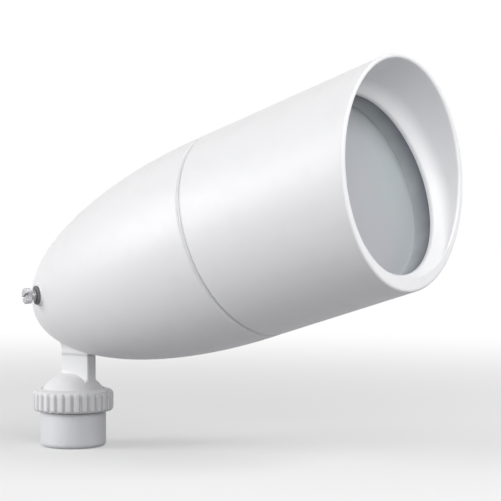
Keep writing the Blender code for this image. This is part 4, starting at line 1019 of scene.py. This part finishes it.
def powder_coat(name, color, roughness):
    """Powder coat: a soft orange skin, fine grains and a faintly uneven gloss."""
    finish = material(name, color, roughness, Specular_IOR_Level=0.5)
    cloudy = noise(finish, 60.0, 3.0)
    duller = tuple(0.965 * value for value in color)
    blend_colors(finish, spread(finish, cloudy, 0.0, 1.0), duller, color)
    uneven_gloss(finish, roughness - 0.05, roughness + 0.06, 300.0)
    emboss(finish, noise(finish, 900.0, 1.0), 0.03 * MM, 0.35)
    emboss(finish, noise(finish, 3200.0, 2.0), 0.012 * MM, 0.25)
    return finish


white_coat = powder_coat("white_powder_coat", (0.86, 0.86, 0.87), 0.45)
dress([hood, housing, arm], white_coat)
# Painted shade at the seam: the white coat greys towards the seam's middle, with a random wobble.
to_seam = add_node(white_coat.node_tree, "Math", [(0, depth_along(white_coat, FORWARD))],
                   operation="ABSOLUTE")
clear_of_seam_shade = spread(white_coat, to_seam.outputs["Value"], 0.0, 1.0, SEAM_SHADE_FULL, SEAM_SHADE_END)
cloudy = spread(white_coat, noise(white_coat, 60.0, 3.0), -0.15, 0.15)
blend_colors(white_coat, added(white_coat, clear_of_seam_shade, cloudy), SEAM_SHADE, (0.86, 0.86, 0.87))
hub_coat = powder_coat("hub_powder_coat", (0.815, 0.82, 0.85), 0.42)
dress([hub], hub_coat)

# The nut's coat is greyer than the white coat: a painted shade for the housing's shadow on the nut.
nut_coat = powder_coat("nut_powder_coat", (0.82, 0.82, 0.83), 0.45)
# Painted shade in the grooves: darker below the rib tops and below the bevel, with a random wobble.
on_rib = spread(nut_coat, from_upright_axis(nut_coat), 0.0, 1.0, NUT_RADIUS - 1.1 * MM, NUT_RADIUS - 0.3 * MM)
above_grip = spread(nut_coat, depth_along(nut_coat, (0.0, 0.0, 1.0)), 0.0, 1.0,
                    NUT_RIB_HIGH - 2 * MM - SEAM_CENTRE[2], NUT_RIB_HIGH + 0.6 * MM - SEAM_CENTRE[2])
groove_shade_noise = spread(nut_coat, noise(nut_coat, 400.0, 3.0), -0.1, 0.1)
unshaded = added(nut_coat, added(nut_coat, on_rib, above_grip), groove_shade_noise)
blend_colors(nut_coat, unshaded, (0.58, 0.58, 0.59), (0.82, 0.82, 0.83))
dress([nut], nut_coat)

# %% [markdown]
# ## Frosted glass, rubber, silicone and steel
# The lens is sandblasted: it scatters what passes, so it looks like blue-grey paper with a soft gloss,
# and a painted reflection tint makes it lilac on one side and greener on the other. The grey silicone
# round it has a painted shade: dark next to the ring, lightening towards the glass. Rubber is dark and
# nearly dull. Zinc-plated steel has fine turning marks, which are a noise squeezed along one direction.

# %% Materials: glass, rubber and steel
frosted_glass = material("frosted_glass", (0.40, 0.42, 0.44), 0.42, Transmission_Weight=0.12, IOR=1.5)
# Painted reflection tint: lilac on the lamp's right side and greener on its left, with random patches.
painted_tint_across_lens = spread(frosted_glass, depth_along(frosted_glass, SIDE), 0.15, 0.85, -0.045, 0.045)
patches = spread(frosted_glass, noise(frosted_glass, 16.0, 1.0), -0.25, 0.25)
blend_colors(frosted_glass, added(frosted_glass, painted_tint_across_lens, patches),
             (0.425, 0.402, 0.447), (0.435, 0.472, 0.486))
uneven_gloss(frosted_glass, 0.36, 0.52, 500.0)
emboss(frosted_glass, noise(frosted_glass, 1400.0, 2.0), 0.05 * MM, 0.5)
dress([lens], frosted_glass)

dark_rubber = material("dark_rubber", (0.18, 0.18, 0.185), 0.75)
uneven_gloss(dark_rubber, 0.6, 0.82, 400.0, 3.0)
emboss(dark_rubber, noise(dark_rubber, 2500.0, 2.0), 0.03 * MM, 0.4)
dress([seam_seal, rear_washer, NODES["nut_seal"]], dark_rubber)

grey_silicone = material("grey_silicone", (0.20, 0.22, 0.22), 0.6)
# Painted shade on the gasket: dark next to the ring's back, lightening towards the glass.
lit_towards_glass = spread(grey_silicone, depth_along(grey_silicone, FORWARD), 1.0, 0.0, LENS_FRONT, GASKET_FRONT)
streaks = spread(grey_silicone, noise(grey_silicone, 60.0, 2.0), -0.12, 0.12)
blend_colors(grey_silicone, added(grey_silicone, lit_towards_glass, streaks),
             (0.19, 0.20, 0.225), (0.47, 0.50, 0.51))
emboss(grey_silicone, noise(grey_silicone, 1800.0, 1.0), 0.02 * MM, 0.3)
dress([lens_seal, lens_pad], grey_silicone)

white_silicone = material("white_silicone", (0.72, 0.72, 0.73), 0.6)
emboss(white_silicone, noise(white_silicone, 1800.0, 1.0), 0.02 * MM, 0.3)
uneven_gloss(white_silicone, 0.5, 0.7, 500.0)
dress([gasket], white_silicone)


def plated_metal(name, color, roughness, squeeze):
    """Turned and plated metal: marks drawn out along the way the tool ran."""
    finish = material(name, color, roughness, 1.0)
    marks = noise(finish, 700.0, 3.0, squeeze)
    roughen(finish, spread(finish, marks, roughness - 0.08, roughness + 0.12))
    emboss(finish, marks, 0.01 * MM, 0.4)
    return finish


plated_steel = plated_metal("plated_steel", (0.48, 0.48, 0.49), 0.46, (1.0, 1.0, 1.0))
dress([snap_ring, rear_screw], plated_steel)
dress([NODES[name] for name in ("arm_screw_back", "arm_screw_front", "hood_lock_screw", "rear_nut",
                                "lampholder_bracket", "lampholder_screw_left", "lampholder_screw_right")],
      plated_steel)
brass = plated_metal("brass", (0.72, 0.53, 0.24), 0.3, (0.3, 0.3, 1.0))
dress([NODES[name] for name in ("screw_shell", "centre_contact", "lamp_base")], brass)
solder = plated_metal("solder", (0.55, 0.55, 0.56), 0.42, (1.0, 1.0, 1.0))
dress([NODES["lamp_contact"]], solder)
green_steel = material("green_steel", (0.07, 0.33, 0.12), 0.4, 0.5)
uneven_gloss(green_steel, 0.3, 0.5, 700.0, 3.0)
dress([NODES["ground_screw"]], green_steel)

# %% [markdown]
# ## The lamp's glass, porcelain and the leads
# Silvered glass is a mirror seen through glass. Porcelain is glazed, so it is smooth with a clear
# coat and tiny specks. The leads have a plastic insulation that is a little waxy.

# %% Materials: lamp, lampholder and leads
mirrored_glass = material("mirrored_glass", (0.80, 0.81, 0.82), 0.16, 0.9)
uneven_gloss(mirrored_glass, 0.1, 0.24, 220.0, 2.0)
emboss(mirrored_glass, noise(mirrored_glass, 160.0, 1.0), 0.08 * MM, 0.2)
dress([reflector], mirrored_glass)

lamp_glass = material("lamp_glass", (0.80, 0.82, 0.83), 0.16, Transmission_Weight=0.5, IOR=1.5)
# The face's colour follows its pebbles: painted light in each pebble's middle and painted shade between them.
pebbles = add_node(lamp_glass.node_tree, "TexVoronoi",
               [("Scale", 210.0), ("Vector", at_point(lamp_glass.node_tree))], feature="F1")
blend_colors(lamp_glass, spread(lamp_glass, pebbles.outputs["Distance"], 0.0, 1.0, 0.1, 0.75),
             (0.93, 0.95, 0.95), (0.50, 0.53, 0.54))
emboss(lamp_glass, pebbles.outputs["Distance"], -0.9 * MM, 0.9)
dress([lamp_face], lamp_glass)

porcelain = material("porcelain", (0.86, 0.84, 0.79), 0.2, Coat_Weight=0.5, Coat_Roughness=0.08)
blend_colors(porcelain, spread(porcelain, noise(porcelain, 900.0, 4.0), 0.0, 1.0, 0.55, 0.75),
             (0.86, 0.84, 0.79), (0.78, 0.75, 0.69))
emboss(porcelain, noise(porcelain, 120.0, 2.0), 0.05 * MM, 0.3)
dress([NODES["lampholder"]], porcelain)

black_glass = material("black_glass", (0.018, 0.018, 0.022), 0.12)
uneven_gloss(black_glass, 0.08, 0.2, 600.0)
dress([NODES["lamp_insulator"]], black_glass)

nylon = material("nylon", (0.80, 0.77, 0.68), 0.45, Subsurface_Weight=0.1)
emboss(nylon, noise(nylon, 1500.0, 2.0), 0.02 * MM, 0.3)
uneven_gloss(nylon, 0.38, 0.55, 400.0)
dress([NODES["swivel_liner"]], nylon)

for node, color in (("lead_black", (0.02, 0.02, 0.022)), ("lead_white", (0.76, 0.76, 0.73)),
                    ("lead_green", (0.04, 0.24, 0.08))):
    insulation = material(node + "_insulation", color, 0.42)
    uneven_gloss(insulation, 0.35, 0.52, 500.0, 2.0)
    emboss(insulation, noise(insulation, 1200.0, 1.0), 0.02 * MM, 0.3)
    dress([NODES[node]], insulation)

# %% [markdown]
# ## The studio
# A pale floor under the hub, and light as in a product photograph: three large soft disks, one low on
# the camera's left and a little behind the lamp, one in front of and above the mouth, and a fill
# between them, plus a dim even surround. The surround and the far floor look white to the camera and
# to mirrors, without adding light to the object.

# %% Floor
FLOOR_SIZE = 40.0
FLOOR_DROP = 0.1 * MM                    # under the hub's face
FADE_START = 0.25
FADE_END = 1.1
FADE_LEAST = 0.35
PALE_FLOOR = (0.86, 0.86, 0.865)
SHADED_FLOOR = (0.33, 0.33, 0.34)        # what it gives back to the object's underside


def seen_directly(tree):
    """1 for camera, glossy and transmission rays, and 0 for the rest."""
    path = add_node(tree, "LightPath")
    either = path.outputs["Is Camera Ray"]
    for kind in ("Is Glossy Ray", "Is Transmission Ray"):
        larger = add_node(tree, "Math", [(0, either), (1, path.outputs[kind])], operation="MAXIMUM")
        either = larger.outputs["Value"]
    return either


def mix_shaders(tree, share, first, second, output):
    """Mix two shaders by a share and send them to the tree's output."""
    mixed = add_node(tree, "MixShader", [("Fac", share), (1, first), (2, second)])
    tree.links.new(mixed.outputs["Shader"], tree.nodes[output].inputs["Surface"])


half = FLOOR_SIZE / 2
floor_mesh = bpy.data.meshes.new("floor")
floor_mesh.from_pydata([(-half, -half, -FLOOR_DROP), (half, -half, -FLOOR_DROP), (half, half, -FLOOR_DROP),
                        (-half, half, -FLOOR_DROP)], [], [(0, 1, 2, 3)])
floor = bpy.data.objects.new("floor", floor_mesh)
bpy.context.scene.collection.objects.link(floor)
floor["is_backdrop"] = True

paper = bpy.data.materials.new("floor_paper")
paper.use_nodes = True
paper_tree = paper.node_tree
paper_shader = paper_tree.nodes["Principled BSDF"]
paper_shader.inputs["Roughness"].default_value = 0.9
direct = seen_directly(paper_tree)
tone = add_node(paper_tree, "Mix", [("A", (*SHADED_FLOOR, 1.0)), ("B", (*PALE_FLOOR, 1.0)),
                                    ("Factor", direct)], data_type="RGBA")
paper_tree.links.new(tone.outputs["Result"], paper_shader.inputs["Base Color"])
distance = add_node(paper_tree, "VectorMath", [(0, at_point(paper_tree))], operation="LENGTH")
fade = add_node(paper_tree, "MapRange", [("From Min", FADE_START), ("From Max", FADE_END),
                                         ("To Min", FADE_LEAST), ("Value", distance.outputs["Value"])],
                interpolation_type="SMOOTHSTEP")
glow_share = add_node(paper_tree, "Math", [(0, fade.outputs["Result"]), (1, direct)], operation="MULTIPLY")
glow = add_node(paper_tree, "Emission")
mix_shaders(paper_tree, glow_share.outputs["Value"], paper_shader.outputs["BSDF"], glow.outputs["Emission"],
            "Material Output")
floor_mesh.materials.append(paper)
print("floor: %.0f m wide, %.1f mm under the hub" % (FLOOR_SIZE, FLOOR_DROP / MM))

# %% Lights
SURROUND = 0.21
LAMP_AWAY = 1.5
LAMP_SIZE = 0.9
LIGHTS = (
    # name, turn from +X, height, both in degrees, and strength in watts
    ("left", -137.0, 13.0, 13.7),
    ("front", 0.0, 36.0, 12.6),
    ("fill", -45.0, 27.0, 8.2),
)

world = bpy.data.worlds.new("studio")
world.use_nodes = True
dim = world.node_tree.nodes["Background"]
dim.inputs["Color"].default_value = (1.0, 1.0, 1.0, 1.0)
dim.inputs["Strength"].default_value = SURROUND
bright = add_node(world.node_tree, "Background", [("Strength", 1.0), ("Color", (1.0, 1.0, 1.0, 1.0))])
mix_shaders(world.node_tree, seen_directly(world.node_tree), dim.outputs["Background"],
            bright.outputs["Background"], "World Output")
bpy.context.scene.world = world


def aim(place, target):
    """Matrix rows of a lamp at a place, whose -Z looks at the target."""
    z = (place - target) / np.linalg.norm(place - target)
    x = np.cross([0.0, 1.0, 0.0] if abs(z[2]) > 0.95 else [0.0, 0.0, 1.0], z)
    x /= np.linalg.norm(x)
    matrix = np.eye(4)
    matrix[:3, :4] = np.column_stack([x, np.cross(z, x), z, place])
    return matrix


for light_name, light_turn, light_rise, watts in LIGHTS:
    light = bpy.data.lights.new(light_name, "AREA")
    light.shape = "DISK"
    light.size = LAMP_SIZE
    light.energy = watts
    holder = bpy.data.objects.new(light_name, light)
    a, b = math.radians(light_turn), math.radians(light_rise)
    away = np.array([math.cos(a) * math.cos(b), math.sin(a) * math.cos(b), math.sin(b)])
    holder.matrix_world = aim(SEAM_CENTRE + away * LAMP_AWAY, SEAM_CENTRE).T.tolist()
    bpy.context.scene.collection.objects.link(holder)
    print("light %s: %.1f W" % (light_name, watts))

bpy.context.scene.view_settings.view_transform = "Standard"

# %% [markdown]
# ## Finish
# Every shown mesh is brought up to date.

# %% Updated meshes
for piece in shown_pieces():
    if piece.type == "MESH":
        piece.data.update()
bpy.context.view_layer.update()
